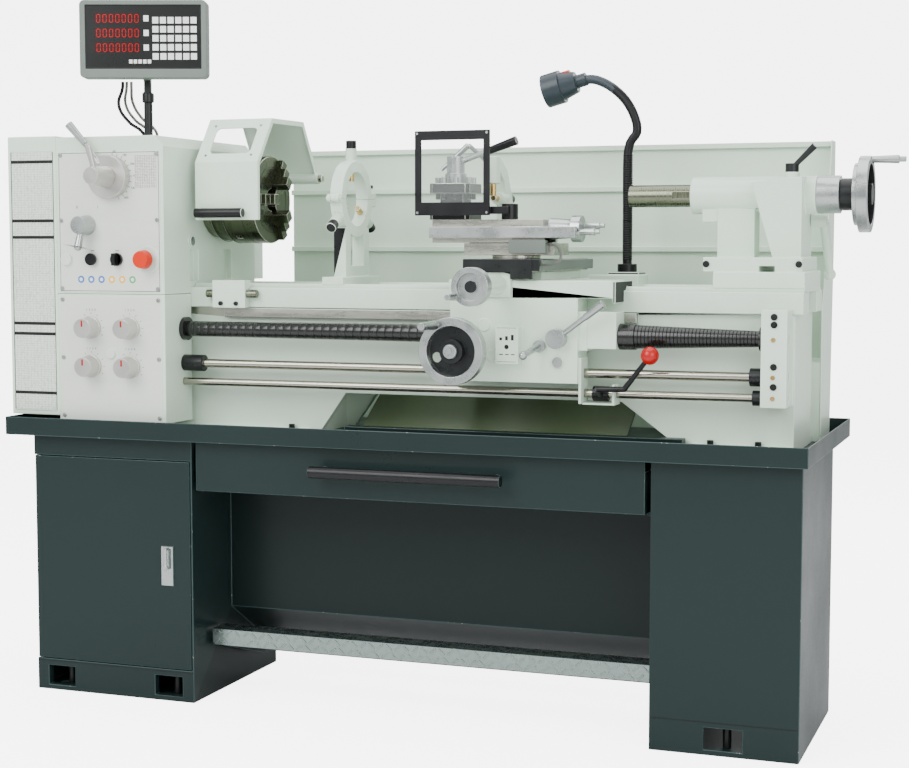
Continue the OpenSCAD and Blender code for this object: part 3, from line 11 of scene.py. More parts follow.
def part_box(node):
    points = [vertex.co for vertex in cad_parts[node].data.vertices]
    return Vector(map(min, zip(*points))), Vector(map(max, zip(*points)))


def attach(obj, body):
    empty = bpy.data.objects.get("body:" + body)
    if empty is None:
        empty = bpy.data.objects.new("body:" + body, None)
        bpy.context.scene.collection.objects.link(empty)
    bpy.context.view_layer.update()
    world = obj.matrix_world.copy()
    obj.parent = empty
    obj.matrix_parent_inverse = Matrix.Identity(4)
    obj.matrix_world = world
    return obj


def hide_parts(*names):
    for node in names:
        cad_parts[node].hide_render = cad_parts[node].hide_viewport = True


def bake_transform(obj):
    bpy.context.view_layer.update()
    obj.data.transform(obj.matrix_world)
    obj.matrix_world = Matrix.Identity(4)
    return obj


bl_info = {
    "name": "Centre lathe",
    "version": (1, 0, 0),
    "blender": (4, 5, 0),
    "location": "View3D > Sidebar > Lathe",
    "description": "Builds the pieces, finishes and stage of a centre lathe on its frame",
    "category": "Add Mesh",
}

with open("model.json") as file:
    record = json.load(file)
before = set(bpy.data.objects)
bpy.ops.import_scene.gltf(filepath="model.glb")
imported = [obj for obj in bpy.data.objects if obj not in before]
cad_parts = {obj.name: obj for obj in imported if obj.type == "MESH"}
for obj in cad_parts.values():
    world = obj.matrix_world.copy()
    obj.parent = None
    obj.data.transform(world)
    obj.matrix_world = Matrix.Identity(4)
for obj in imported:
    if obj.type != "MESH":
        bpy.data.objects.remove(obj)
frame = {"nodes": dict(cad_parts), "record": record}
NODES = frame["nodes"]
BODY_OF = {n: b for b, members in frame["record"]["behaviour"]["bodies"].items() for n in members}
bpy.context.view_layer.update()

# The drawing's origin lies on the spindle axis, the frame's under the middle of the outline.
SHIFT = Vector((-14, 52, 0))
TO_FRAME = Matrix.Scale(0.001, 4) @ Matrix.Translation(SHIFT)
FINISHES = {}
GROUPS = {}


def corners(node):
    """The lowest and highest corners of a frame node, in the drawing's millimetres."""
    return [v * 1000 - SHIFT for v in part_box(node)]


def middle(node):
    """The middle of a frame node, in the drawing's millimetres."""
    low, high = corners(node)
    return (low + high) / 2


AXIS_Z = middle("spindle").z
PLATE_Y = -257
ROD_Y = -165
STEADY_X = -225
DIAL = Vector((-709, PLATE_Y, AXIS_Z + 48))
WHEEL = Vector((130, 0, 824))
LAMP_HEAD = Vector((306, 120, 1424))
BALL = Vector((540, -216, 819))


# ---- finishes ----
def add(tree, kind, values=None, **props):
    """A new shader node with its socket values and its settings."""
    made = tree.nodes.new(kind)
    for key, value in props.items():
        setattr(made, key, value)
    for key, value in (values or {}).items():
        made.inputs[key].default_value = value
    return made


def group(name, sockets, outputs):
    """A new shader node group with the sockets named, its input node and its output node."""
    tree = bpy.data.node_groups.new(name, "ShaderNodeTree")
    for label, kind, value in sockets:
        made = tree.interface.new_socket(label, in_out="INPUT", socket_type=kind)
        if value is not None:
            made.default_value = value
    for label, kind in outputs:
        tree.interface.new_socket(label, in_out="OUTPUT", socket_type=kind)
    return tree, tree.nodes.new("NodeGroupInput"), tree.nodes.new("NodeGroupOutput")


def surface_group():
    """Slow colour drift, smudged gloss and a fine grain, all along a stretched direction."""
    tree, given, out = group(
        "Surface", [("Vector", "NodeSocketVector", None), ("Colour", "NodeSocketColor", (0.5, 0.5, 0.5, 1)),
        ("Drift", "NodeSocketFloat", 0.08), ("Roughness", "NodeSocketFloat", 0.4),
        ("Smudge", "NodeSocketFloat", 0.1), ("Size", "NodeSocketFloat", 5.0),
        ("Grain Size", "NodeSocketFloat", 300.0)], [("Colour", "NodeSocketColor"),
        ("Roughness", "NodeSocketFloat"), ("Height", "NodeSocketFloat")])
    link = tree.links.new
    coarse = add(tree, "ShaderNodeTexNoise", {"Detail": 5.0, "Roughness": 0.6})
    grain = add(tree, "ShaderNodeTexNoise", {"Detail": 3.0, "Roughness": 0.7})
    for noise, size in ((coarse, "Size"), (grain, "Grain Size")):
        link(given.outputs["Vector"], noise.inputs["Vector"])
        link(given.outputs[size], noise.inputs["Scale"])
    centred = add(tree, "ShaderNodeMath", {1: 0.5}, operation="SUBTRACT")
    link(coarse.outputs[0], centred.inputs[0])
    speck = add(tree, "ShaderNodeMath", {1: 0.5}, operation="SUBTRACT")
    link(grain.outputs[0], speck.inputs[0])
    both = add(tree, "ShaderNodeMath", {1: 0.35}, operation="MULTIPLY_ADD")
    link(speck.outputs[0], both.inputs[0])
    link(centred.outputs[0], both.inputs[2])
    drift = add(tree, "ShaderNodeMath", operation="MULTIPLY")
    link(both.outputs[0], drift.inputs[0])
    link(given.outputs["Drift"], drift.inputs[1])
    shade = add(tree, "ShaderNodeMath", {1: 4.0, 2: 1.0}, operation="MULTIPLY_ADD")
    link(drift.outputs[0], shade.inputs[0])
    tint = add(tree, "ShaderNodeVectorMath", operation="SCALE")
    link(given.outputs["Colour"], tint.inputs[0])
    link(shade.outputs[0], tint.inputs["Scale"])
    link(tint.outputs[0], out.inputs["Colour"])
    rough = add(tree, "ShaderNodeMath", operation="MULTIPLY")
    link(both.outputs[0], rough.inputs[0])
    link(given.outputs["Smudge"], rough.inputs[1])
    total = add(tree, "ShaderNodeMath", {1: 4.0}, operation="MULTIPLY_ADD", use_clamp=True)
    link(rough.outputs[0], total.inputs[0])
    link(given.outputs["Roughness"], total.inputs[2])
    link(total.outputs[0], out.inputs["Roughness"])
    link(grain.outputs[0], out.inputs["Height"])
    return tree


def chips_group():
    """Patches where a coat is worn through: 1 in the worn patch and 0 where the coat holds."""
    tree, given, out = group(
        "Worn patches", [("Vector", "NodeSocketVector", None), ("Size", "NodeSocketFloat", 60.0),
        ("Amount", "NodeSocketFloat", 0.5)], [("Mask", "NodeSocketFloat")])
    noise = add(tree, "ShaderNodeTexNoise", {"Detail": 6.0, "Roughness": 0.75})
    tree.links.new(given.outputs["Vector"], noise.inputs["Vector"])
    tree.links.new(given.outputs["Size"], noise.inputs["Scale"])
    worn = add(tree, "ShaderNodeMath", operation="LESS_THAN")
    tree.links.new(noise.outputs[0], worn.inputs[0])
    tree.links.new(given.outputs["Amount"], worn.inputs[1])
    tree.links.new(worn.outputs[0], out.inputs["Mask"])
    return tree


def finish(
        name, colour, rough, metal=0.0, drift=0.05, smudge=0.05, size=5.0, stretch=(1, 1, 1), grain=300.0,
        bump=0.1, coat=0.0, gloss=0.5, rings=None, worn=None, ribs=None, alpha=1.0, glow=0.0):
    """A finish from the shared surface group, with turned rings, ribs or worn patches where asked for."""
    made = bpy.data.materials.new(name)
    made.use_nodes = True
    made.diffuse_color = (*colour, 1)
    tree = made.node_tree
    link = tree.links.new
    shader = tree.nodes["Principled BSDF"]
    shader.inputs["Metallic"].default_value = metal
    shader.inputs["Coat Weight"].default_value = coat
    shader.inputs["Coat Roughness"].default_value = 0.12
    shader.inputs["Specular IOR Level"].default_value = gloss
    place = add(tree, "ShaderNodeTexCoord")
    mapping = add(tree, "ShaderNodeMapping", {"Scale": stretch})
    link(place.outputs["Object"], mapping.inputs["Vector"])
    surface = add(tree, "ShaderNodeGroup", node_tree=GROUPS["surface"])
    for key, value in (("Colour", (*colour, 1)), ("Drift", drift), ("Roughness", rough), ("Smudge", smudge),
                       ("Size", size), ("Grain Size", grain)):
        surface.inputs[key].default_value = value
    link(mapping.outputs[0], surface.inputs["Vector"])
    tinted, height, depth = surface.outputs["Colour"], surface.outputs["Height"], 0.0002
    if worn:
        chips = add(tree, "ShaderNodeGroup", {"Size": 90.0, "Amount": worn}, node_tree=GROUPS["chips"])
        link(place.outputs["Object"], chips.inputs["Vector"])
        mix = add(tree, "ShaderNodeMix", data_type="RGBA")
        mix.inputs[7].default_value = (0.36, 0.37, 0.35, 1)
        link(chips.outputs["Mask"], mix.inputs[0])
        link(tinted, mix.inputs[6])
        tinted = mix.outputs[2]
    if rings or ribs:
        wave = add(tree, "ShaderNodeTexWave", {"Distortion": 0.0, "Scale": 1.0})
        turn = add(tree, "ShaderNodeMapping")
        if rings:
            axis, centre, pitch = rings
            wave.wave_type, wave.rings_direction = "RINGS", axis
            turn.vector_type = "TEXTURE"
            turn.inputs["Location"].default_value = centre
            link(place.outputs["Object"], turn.inputs["Vector"])
            wave.inputs["Scale"].default_value = pitch
        else:
            wave.bands_direction = "X"
            link(place.outputs["UV"], turn.inputs["Vector"])
            wave.inputs["Scale"].default_value = ribs
            depth = 0.002
        link(turn.outputs[0], wave.inputs["Vector"])
        height = wave.outputs["Fac"]
    link(tinted, shader.inputs["Base Color"])
    link(surface.outputs["Roughness"], shader.inputs["Roughness"])
    if bump:
        relief = add(tree, "ShaderNodeBump", {"Strength": bump, "Distance": depth})
        link(height, relief.inputs["Height"])
        link(relief.outputs[0], shader.inputs["Normal"])
    if alpha < 1:
        shader.inputs["Alpha"].default_value = alpha
        shader.inputs["IOR"].default_value = 1.45
    if glow:
        shader.inputs["Emission Strength"].default_value = glow
        link(tinted, shader.inputs["Emission Color"])
    return made


def chart_finish(name, ground, ink, cells, line):
    """A printed table: rows and columns of thin rules with a broken mark in most cells."""
    made = finish(name, ground, 0.35, drift=0.03, bump=0.0)
    tree = made.node_tree
    link = tree.links.new
    place = tree.nodes["Texture Coordinate"]
    turn = add(tree, "ShaderNodeMapping", {"Rotation": (math.radians(90), 0, 0)})
    link(place.outputs["Object"], turn.inputs["Vector"])
    brick = add(
        tree, "ShaderNodeTexBrick", {"Scale": cells, "Mortar Size": line, "Mortar Smooth": 0.0, "Bias": 0.0,
        "Brick Width": 1.0, "Row Height": 0.6}, offset=0.0, squash=1.0)
    link(turn.outputs[0], brick.inputs["Vector"])
    dash = add(tree, "ShaderNodeTexNoise", {"Scale": 1.0, "Detail": 2.0})
    fine = add(tree, "ShaderNodeMapping", {"Scale": (cells * 3.4, cells * 3.4, cells * 1.65)})
    link(place.outputs["Object"], fine.inputs["Vector"])
    link(fine.outputs[0], dash.inputs["Vector"])
    marks = add(tree, "ShaderNodeMath", {1: 0.56}, operation="GREATER_THAN")
    link(dash.outputs[0], marks.inputs[0])
    soft = add(tree, "ShaderNodeMath", {1: 0.4}, operation="MULTIPLY")
    link(marks.outputs[0], soft.inputs[0])
    top = add(tree, "ShaderNodeMath", operation="MAXIMUM")
    link(brick.outputs["Fac"], top.inputs[0])
    link(soft.outputs[0], top.inputs[1])
    mix = add(tree, "ShaderNodeMix", data_type="RGBA")
    mix.inputs[7].default_value = (*ink, 1)
    shader = tree.nodes["Principled BSDF"]
    link(top.outputs[0], mix.inputs[0])
    link(shader.inputs["Base Color"].links[0].from_socket, mix.inputs[6])
    link(mix.outputs[2], shader.inputs["Base Color"])
    return made


def make_finishes(look):
    """Builds the shared groups and every finish, once, from the colours that a user may change."""
    GROUPS["surface"], GROUPS["chips"] = surface_group(), chips_group()
    body, stand = tuple(look.enamel), tuple(look.stand)
    spindle_at = (Vector((0, 0, AXIS_Z)) + SHIFT) / 1000
    FINISHES["enamel"] = finish(
        "Pale enamel", body, 0.36, drift=0.03, smudge=0.06, size=3.5, grain=120, bump=0.3, coat=0.15)
    FINISHES["enamel_edge"] = finish(
        "Pale enamel, worn edge", tuple(min(0.9, c * 1.06) for c in body), 0.4, worn=0.34, grain=120,
        bump=0.2)
    FINISHES["sheet"] = finish(
        "Pale sheet paint", tuple(c * 1.02 for c in body), 0.38, drift=0.03, size=1.6, grain=60, bump=0.12,
        coat=0.15)
    FINISHES["plate"] = finish(
        "Satin control plate", (0.69, 0.73, 0.66), 0.45, metal=0.0, drift=0.02, stretch=(1, 1, 30),
        grain=90, bump=0.05)
    FINISHES["stand"] = finish(
        "Grey stand enamel", stand, 0.36, drift=0.07, smudge=0.1, size=2.2, grain=220, bump=0.2, gloss=0.22)
    FINISHES["stand_edge"] = finish(
        "Grey stand enamel, worn edge", tuple(min(1, c * 2.6) for c in stand), 0.36, worn=0.36, grain=200,
        bump=0.2, gloss=0.35)
    # A darker copy of the stand enamel: the foot brake's own colour and the chip tray's slate lip, and
    # painted shade on the left cabinet's inner faces under the tray.
    FINISHES["stand_dark"] = finish(
        "Grey stand enamel, shaded sheet", tuple(c * 0.6 for c in stand), 0.34, drift=0.1, size=1.5,
        grain=200, bump=0.2, gloss=0.2)
    FINISHES["cast"] = finish(
        "Painted casting", tuple(c * 0.97 for c in body), 0.42, drift=0.05, size=8, grain=70, bump=0.55,
        coat=0.1)
    FINISHES["ground"] = finish(
        "Ground way steel", (0.56, 0.53, 0.41), 0.24, metal=0.9, drift=0.06, smudge=0.12,
        stretch=(0.5, 12, 12), grain=60, bump=0.12)
    FINISHES["machined"] = finish(
        "Machined steel", (0.40, 0.40, 0.35), 0.3, metal=0.9, drift=0.09, smudge=0.14, stretch=(2, 14, 14),
        grain=40, bump=0.15)
    FINISHES["turned"] = finish(
        "Turned steel", (0.16, 0.17, 0.12), 0.26, metal=0.95, drift=0.07, smudge=0.12, stretch=(40, 1, 1),
        grain=30, bump=0.16, rings=("X", spindle_at, 60))
    FINISHES["chuck"] = finish(
        "Oiled chuck steel", (0.075, 0.085, 0.052), 0.27, metal=0.9, drift=0.16, smudge=0.16, size=14,
        stretch=(3, 1, 1), grain=60, bump=0.25, rings=("X", spindle_at, 45))
    FINISHES["rod"] = finish(
        "Drawn bar", (0.36, 0.35, 0.29), 0.2, metal=0.95, drift=0.08, smudge=0.1, stretch=(0.4, 20, 20),
        grain=60, bump=0.08)
    FINISHES["bright"] = finish(
        "Bright aluminium", (0.42, 0.45, 0.44), 0.3, metal=0.92, drift=0.05, smudge=0.14, size=20,
        grain=250, bump=0.08)
    FINISHES["silver"] = finish(
        "Satin dial aluminium", (0.56, 0.55, 0.52), 0.36, metal=0.85, drift=0.03, smudge=0.08, size=12,
        stretch=(1, 20, 1), grain=60, bump=0.06)
    FINISHES["black_steel"] = finish(
        "Blackened steel", (0.012, 0.014, 0.014), 0.34, metal=0.2, drift=0.2, smudge=0.12, size=24,
        grain=260, bump=0.2, gloss=0.35)
    FINISHES["black"] = finish(
        "Black moulding", (0.005, 0.005, 0.006), 0.32, drift=0.15, smudge=0.08, size=16, grain=400,
        bump=0.1, gloss=0.3)
    FINISHES["rubber"] = finish(
        "Black rubber", (0.008, 0.008, 0.009), 0.6, drift=0.2, size=20, grain=500, bump=0.2, gloss=0.3)
    FINISHES["spring"] = finish(
        "Oiled spring steel", (0.016, 0.017, 0.016), 0.24, metal=0.4, drift=0.2, smudge=0.1, size=12,
        stretch=(30, 1, 1), grain=60, bump=0.15, coat=0.2)
    FINISHES["brass"] = finish(
        "Brass", (0.62, 0.42, 0.16), 0.28, metal=0.95, drift=0.1, smudge=0.1, size=20, bump=0.1)
    FINISHES["red"] = finish(
        "Red moulding", (0.42, 0.003, 0.002), 0.25, drift=0.05, bump=0.05, gloss=0.4)
    FINISHES["orange"] = finish(
        "Signal mushroom", (0.62, 0.022, 0.001), 0.34, drift=0.05, bump=0.05, gloss=0.3)
    FINISHES["yellow"] = finish(
        "Signal yellow", (0.9, 0.5, 0.01), 0.4, drift=0.04, bump=0.05)
    FINISHES["green"] = finish(
        "Green moulding", (0.08, 0.42, 0.16), 0.3, coat=0.3, bump=0.05)
    FINISHES["blue"] = finish(
        "Blue print", (0.05, 0.16, 0.5), 0.4, bump=0.0)
    FINISHES["white"] = finish(
        "White moulding", (0.82, 0.84, 0.82), 0.35, drift=0.03, coat=0.2, bump=0.05)
    # Black print for marks, scales and seams. The same black also serves as painted shade for the dark
    # insides of holes and screw sockets.
    FINISHES["ink"] = finish(
        "Black print and painted hole shade", (0.008, 0.008, 0.008), 0.5, bump=0.0, gloss=0.3)
    FINISHES["case"] = finish(
        "Readout case", (0.15, 0.18, 0.16), 0.5, drift=0.06, size=8, grain=700, bump=0.25, gloss=0.35)
    FINISHES["screen"] = finish(
        "Readout panel", (0.008, 0.009, 0.009), 0.3, drift=0.1, bump=0.0, gloss=0.3)
    FINISHES["digits"] = finish(
        "Readout window", (0.03, 0.008, 0.008), 0.2, drift=0.1, bump=0.0, gloss=0.35)
    FINISHES["lamp"] = finish(
        "Lamp enamel", (0.02, 0.032, 0.04), 0.36, drift=0.08, grain=260, bump=0.15, gloss=0.4)
    FINISHES["neck"] = finish(
        "Ribbed neck", (0.05, 0.07, 0.075), 0.36, metal=0.4, drift=0.1, bump=0.9, ribs=46.0)
    FINISHES["armour"] = finish(
        "Armoured sheath", (0.24, 0.25, 0.22), 0.32, metal=0.8, drift=0.12, bump=0.9, ribs=26.0)
    FINISHES["glass"] = finish(
        "Clear pane", (0.5, 0.55, 0.53), 0.1, drift=0.02, bump=0.0, alpha=0.1, gloss=0.3)
    FINISHES["bulb"] = finish(
        "Opal bulb", (0.9, 0.88, 0.78), 0.3, drift=0.02, bump=0.0, glow=0.25)
    FINISHES["tread"] = finish(
        "Tread plate", (0.27, 0.33, 0.31), 0.28, metal=0.95, drift=0.14, smudge=0.16, size=40, grain=120,
        bump=0.3)
    FINISHES["tray_slope"] = finish(
        "Drab painted slope", (0.085, 0.115, 0.058), 0.36, drift=0.14, size=4, bump=0.2, coat=0.2)
    FINISHES["motor"] = finish(
        "Motor enamel", (0.09, 0.12, 0.14), 0.45, drift=0.08, bump=0.3)
    FINISHES["chart"] = chart_finish(
        "Printed gear chart", (0.70, 0.78, 0.69), (0.34, 0.38, 0.34), 110.0, 0.03)
    FINISHES["small_chart"] = chart_finish(
        "Printed speed chart", (0.74, 0.77, 0.71), (0.10, 0.10, 0.10), 170.0, 0.05)


# ---- shaping ----
def settle(name, shape, body, finishes, bevel=0.0, smooth=38):
    """Turns a bmesh in the drawing's millimetres into a piece that rides on a body."""
    shape.transform(TO_FRAME)
    mesh = bpy.data.meshes.new(name)
    shape.to_mesh(mesh)
    shape.free()
    piece = bpy.data.objects.new(name, mesh)
    bpy.context.scene.collection.objects.link(piece)
    for key in finishes:
        mesh.materials.append(FINISHES[key])
    mesh.shade_smooth()
    mesh.set_sharp_from_angle(angle=math.radians(smooth))
    if bevel:
        round_edges(piece, bevel)
    if body:
        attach(piece, body)
    return piece


def round_edges(piece, width, edge=-1):
    """Rounds the sharp edges by a width in millimetres, in the material slot given, and shades flats flat."""
    edges = piece.modifiers.new("Rounded edges", "BEVEL")
    edges.width = width / 1000
    edges.segments = 2
    edges.limit_method = "ANGLE"
    edges.angle_limit = math.radians(42)
    edges.use_clamp_overlap = False
    edges.material = edge
    shading = piece.modifiers.new("Flat faces shaded flat", "WEIGHTED_NORMAL")
    shading.keep_sharp = True


def dress(node, paint, width=1.0, edge=None, rules=()):
    """Stands a finished copy of a frame node in its place: flat faces joined, edges rounded, regions painted.
    Each rule is a finish and a test of a face's middle, in the drawing's millimetres, and its normal."""
    shape = bmesh.new()
    shape.from_mesh(NODES[node].data)
    bmesh.ops.remove_doubles(shape, verts=shape.verts, dist=1e-6)
    bmesh.ops.split_edges(shape, edges=[e for e in shape.edges if len(e.link_faces) > 2])
    names = [paint] + [r[0] for r in rules]
    for face in shape.faces:
        at = face.calc_center_median() * 1000 - SHIFT
        for index, (_, test) in enumerate(rules):
            if test(at, face.normal):
                face.material_index = index + 1
    bmesh.ops.dissolve_limit(shape, angle_limit=math.radians(0.6), verts=shape.verts, edges=shape.edges,
                             delimit={"MATERIAL"})
    shape.transform(TO_FRAME.inverted())
    if edge:
        names.append(edge)
    piece = settle(node + "_finished", shape, BODY_OF[node], names)
    if width:
        round_edges(piece, width, len(names) - 1 if edge else -1)
    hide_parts(node)
    return piece


def block(shape, low, high, turn=None, material=0):
    """Adds a box between two corners, which turn then moves into place."""
    size = Vector(high) - Vector(low)
    matrix = Matrix.Translation((Vector(low) + Vector(high)) / 2) @ Matrix.Diagonal((*size, 1))
    if turn is not None:
        matrix = turn @ matrix
    made = bmesh.ops.create_cube(shape, size=1, matrix=matrix)
    for face in {f for v in made["verts"] for f in v.link_faces}:
        face.material_index = material
    return made["verts"]


def bar(shape, start, end, r0, r1=None, sides=24, material=0):
    """Adds a round bar between two points; r1 is its radius at the far end."""
    start, end = Vector(start), Vector(end)
    way = end - start
    matrix = Matrix.Translation((start + end) / 2) @ way.to_track_quat("Z", "Y").to_matrix().to_4x4()
    made = bmesh.ops.create_cone(
        shape, cap_ends=True, segments=sides, radius1=r0, radius2=r0 if r1 is None else r1,
        depth=way.length, matrix=matrix)
    for face in {f for v in made["verts"] for f in v.link_faces}:
        face.material_index = material
    return made["verts"]


def turned(shape, profile, at, axis="X", steps=48, material=0):
    """Spins a closed profile of (radius, height) pairs about a line through at, and adds it to shape."""
    ring = bmesh.new()
    verts = [ring.verts.new((h, r, 0)) for r, h in profile]
    edges = [ring.edges.new((a, b)) for a, b in zip(verts, verts[1:] + verts[:1])]
    bmesh.ops.spin(ring, geom=verts + edges, axis=(1, 0, 0), angle=math.tau, steps=steps, use_merge=True)
    bmesh.ops.remove_doubles(ring, verts=ring.verts, dist=0.001)
    bmesh.ops.recalc_face_normals(ring, faces=ring.faces)
    turn = {"X": Matrix.Identity(4), "Y": Matrix.Rotation(math.radians(90), 4, "Z"),
            "Z": Matrix.Rotation(math.radians(-90), 4, "Y")}[axis]
    ring.transform(Matrix.Translation(at) @ turn)
    for face in ring.faces:
        face.material_index = material
    join(shape, ring)


def join(shape, part):
    """Adds one bmesh to another and frees it."""
    loose = bpy.data.meshes.new("part")
    part.to_mesh(loose)
    part.free()
    shape.from_mesh(loose)
    bpy.data.meshes.remove(loose)


def number(shape, words, size, at, turn=None, material=0):
    """A generic numeral or sign, flat on a front face that looks along -Y."""
    curve = bpy.data.curves.new("numeral", "FONT")
    curve.body, curve.size, curve.align_x, curve.align_y = words, size, "CENTER", "CENTER"
    curve.extrude = 0.1
    holder = bpy.data.objects.new("numeral", curve)
    flat = bmesh.new()
    flat.from_mesh(holder.to_mesh())
    holder.to_mesh_clear()
    bpy.data.objects.remove(holder)
    bpy.data.curves.remove(curve)
    flat.transform(
        Matrix.Translation(at) @ (turn or Matrix.Identity(4)) @ Matrix.Rotation(math.radians(90), 4, "X"))
    for face in flat.faces:
        face.material_index = material
    join(shape, flat)


def cable(name, points, radius, finish_name):
    """A smooth tube through points in the drawing's millimetres, made a mesh with its length along U."""
    curve = bpy.data.curves.new(name, "CURVE")
    curve.dimensions = "3D"
    curve.bevel_depth = radius / 1000
    curve.bevel_resolution = 3
    curve.resolution_u = 6
    curve.use_fill_caps = True
    line = curve.splines.new("BEZIER")
    line.bezier_points.add(len(points) - 1)
    for point, at in zip(line.bezier_points, points):
        point.co = TO_FRAME @ Vector(at)
        point.handle_left_type = point.handle_right_type = "AUTO"
    holder = bpy.data.objects.new(name, curve)
    bpy.context.scene.collection.objects.link(holder)
    bpy.context.view_layer.update()
    mesh = bpy.data.meshes.new_from_object(holder.evaluated_get(bpy.context.evaluated_depsgraph_get()))
    bpy.data.objects.remove(holder)
    mesh.name = name
    mesh.materials.clear()
    mesh.materials.append(FINISHES[finish_name])
    mesh.shade_smooth()
    piece = bpy.data.objects.new(name, mesh)
    bpy.context.scene.collection.objects.link(piece)
    return piece


# ---- what a user may change ----
class LatheLook(bpy.types.PropertyGroup):
    enamel: bpy.props.FloatVectorProperty(
        name="Machine enamel", description="Colour of the headstock, guards and castings", subtype="COLOR",
        default=(0.66, 0.79, 0.66), min=0, max=1)
    stand: bpy.props.FloatVectorProperty(
        name="Stand enamel", description="Colour of the cabinets, tray and drawer", subtype="COLOR",
        default=(0.0105, 0.0215, 0.0205), min=0, max=1)


class LatheDetail(bpy.types.PropertyGroup):
    rack_pitch: bpy.props.FloatProperty(
        name="Rack pitch",
        description="Distance between the teeth of the rack under the front way, in millimetres",
        default=6.3, min=3, max=12)
    tread_pitch: bpy.props.FloatProperty(
        name="Tread pitch",
        description="Distance between the raised bars of the foot brake's tread, in millimetres",
        default=21.0, min=12, max=40)
    cover_coils: bpy.props.IntProperty(
        name="Cover coils", description="Steps in each spiral cover over the lead screw", default=34, min=8,
        max=60)


class LatheStage(bpy.types.PropertyGroup):
    view_from: bpy.props.FloatVectorProperty(
        name="Camera place", description="Where the camera stands", subtype="TRANSLATION", unit="LENGTH",
        default=(1.380, -3.683, 1.050))
    lens: bpy.props.FloatProperty(
        name="Lens", description="Focal length of the camera, in millimetres", default=68.9, min=20,
        max=200)
    light: bpy.props.FloatProperty(
        name="Key light", description="Strength of the main soft light, in watts", default=210.0, min=0,
        max=2000)


class LATHE_OT_stage(bpy.types.Operator):
    """Sets up the camera, the pale floor and the soft studio light"""
    bl_idname = "lathe.stage"
    bl_label = "Stage"

    def execute(self, context):
        stage = context.scene.lathe_stage
        lens = bpy.data.cameras.new("Camera")
        lens.lens, lens.sensor_width = stage.lens, 36
        camera = bpy.data.objects.new("Camera", lens)
        camera.location = stage.view_from
        camera.rotation_euler = (math.radians(85.4), 0, math.radians(20.06))
        context.scene.collection.objects.link(camera)
        context.scene.camera = camera
        ground = bmesh.new()
        bmesh.ops.create_grid(ground, x_segments=1, y_segments=1, size=14)
        rim = [e for e in ground.edges if all(v.co.y > 13 for v in e.verts)]
        raised = bmesh.ops.extrude_edge_only(ground, edges=rim)
        bmesh.ops.translate(
            ground, vec=(0, 0, 12), verts=[v for v in raised["geom"] if isinstance(v, bmesh.types.BMVert)])
        bmesh.ops.bevel(
            ground, geom=rim, offset=4, offset_type="OFFSET", segments=10, profile=0.5, affect="EDGES",
            material=-1)
        mesh = bpy.data.meshes.new("floor")
        ground.to_mesh(mesh)
        ground.free()
        mesh.shade_smooth()
        floor = bpy.data.objects.new("floor", mesh)
        context.scene.collection.objects.link(floor)
        paper = finish("Pale floor", (0.9, 0.9, 0.9), 0.9, drift=0.004, size=0.4, bump=0.0, gloss=0.1)
        shader = paper.node_tree.nodes["Principled BSDF"]
        shader.inputs["Emission Color"].default_value = (1, 1, 1, 1)
        seen = add(paper.node_tree, "ShaderNodeLightPath")
        bright = add(paper.node_tree, "ShaderNodeMath", {1: 5.0}, operation="MULTIPLY")
        paper.node_tree.links.new(seen.outputs["Is Camera Ray"], bright.inputs[0])
        paper.node_tree.links.new(bright.outputs[0], shader.inputs["Emission Strength"])
        mesh.materials.append(paper)
        for name, at, aim, size, share in (
                ("Key", (-1.6, -3.6, 3.4), (0, 0, 0.9), 3.0, 1.0),
                ("Fill", (3.2, -3.0, 2.2), (0.2, 0, 0.8), 3.0, 0.5),
                ("Top", (0, 0.2, 4.2), (0, 0, 1.0), 3.5, 0.55),
                ("Back", (1.5, 3.2, 3.0), (0, 0, 1.0), 2.5, 0.35)):
            lamp = bpy.data.lights.new(name, "AREA")
            lamp.size, lamp.energy = size, stage.light * share
            holder = bpy.data.objects.new(name, lamp)
            holder.location = at
            holder.rotation_euler = (Vector(aim) - Vector(at)).to_track_quat("-Z", "Y").to_euler()
            context.scene.collection.objects.link(holder)
        world = bpy.data.worlds.new("Studio")
        world.use_nodes = True
        world.node_tree.nodes["Background"].inputs[0].default_value = (0.93, 0.96, 0.97, 1)
        world.node_tree.nodes["Background"].inputs[1].default_value = 0.8
        context.scene.world = world
        return {"FINISHED"}


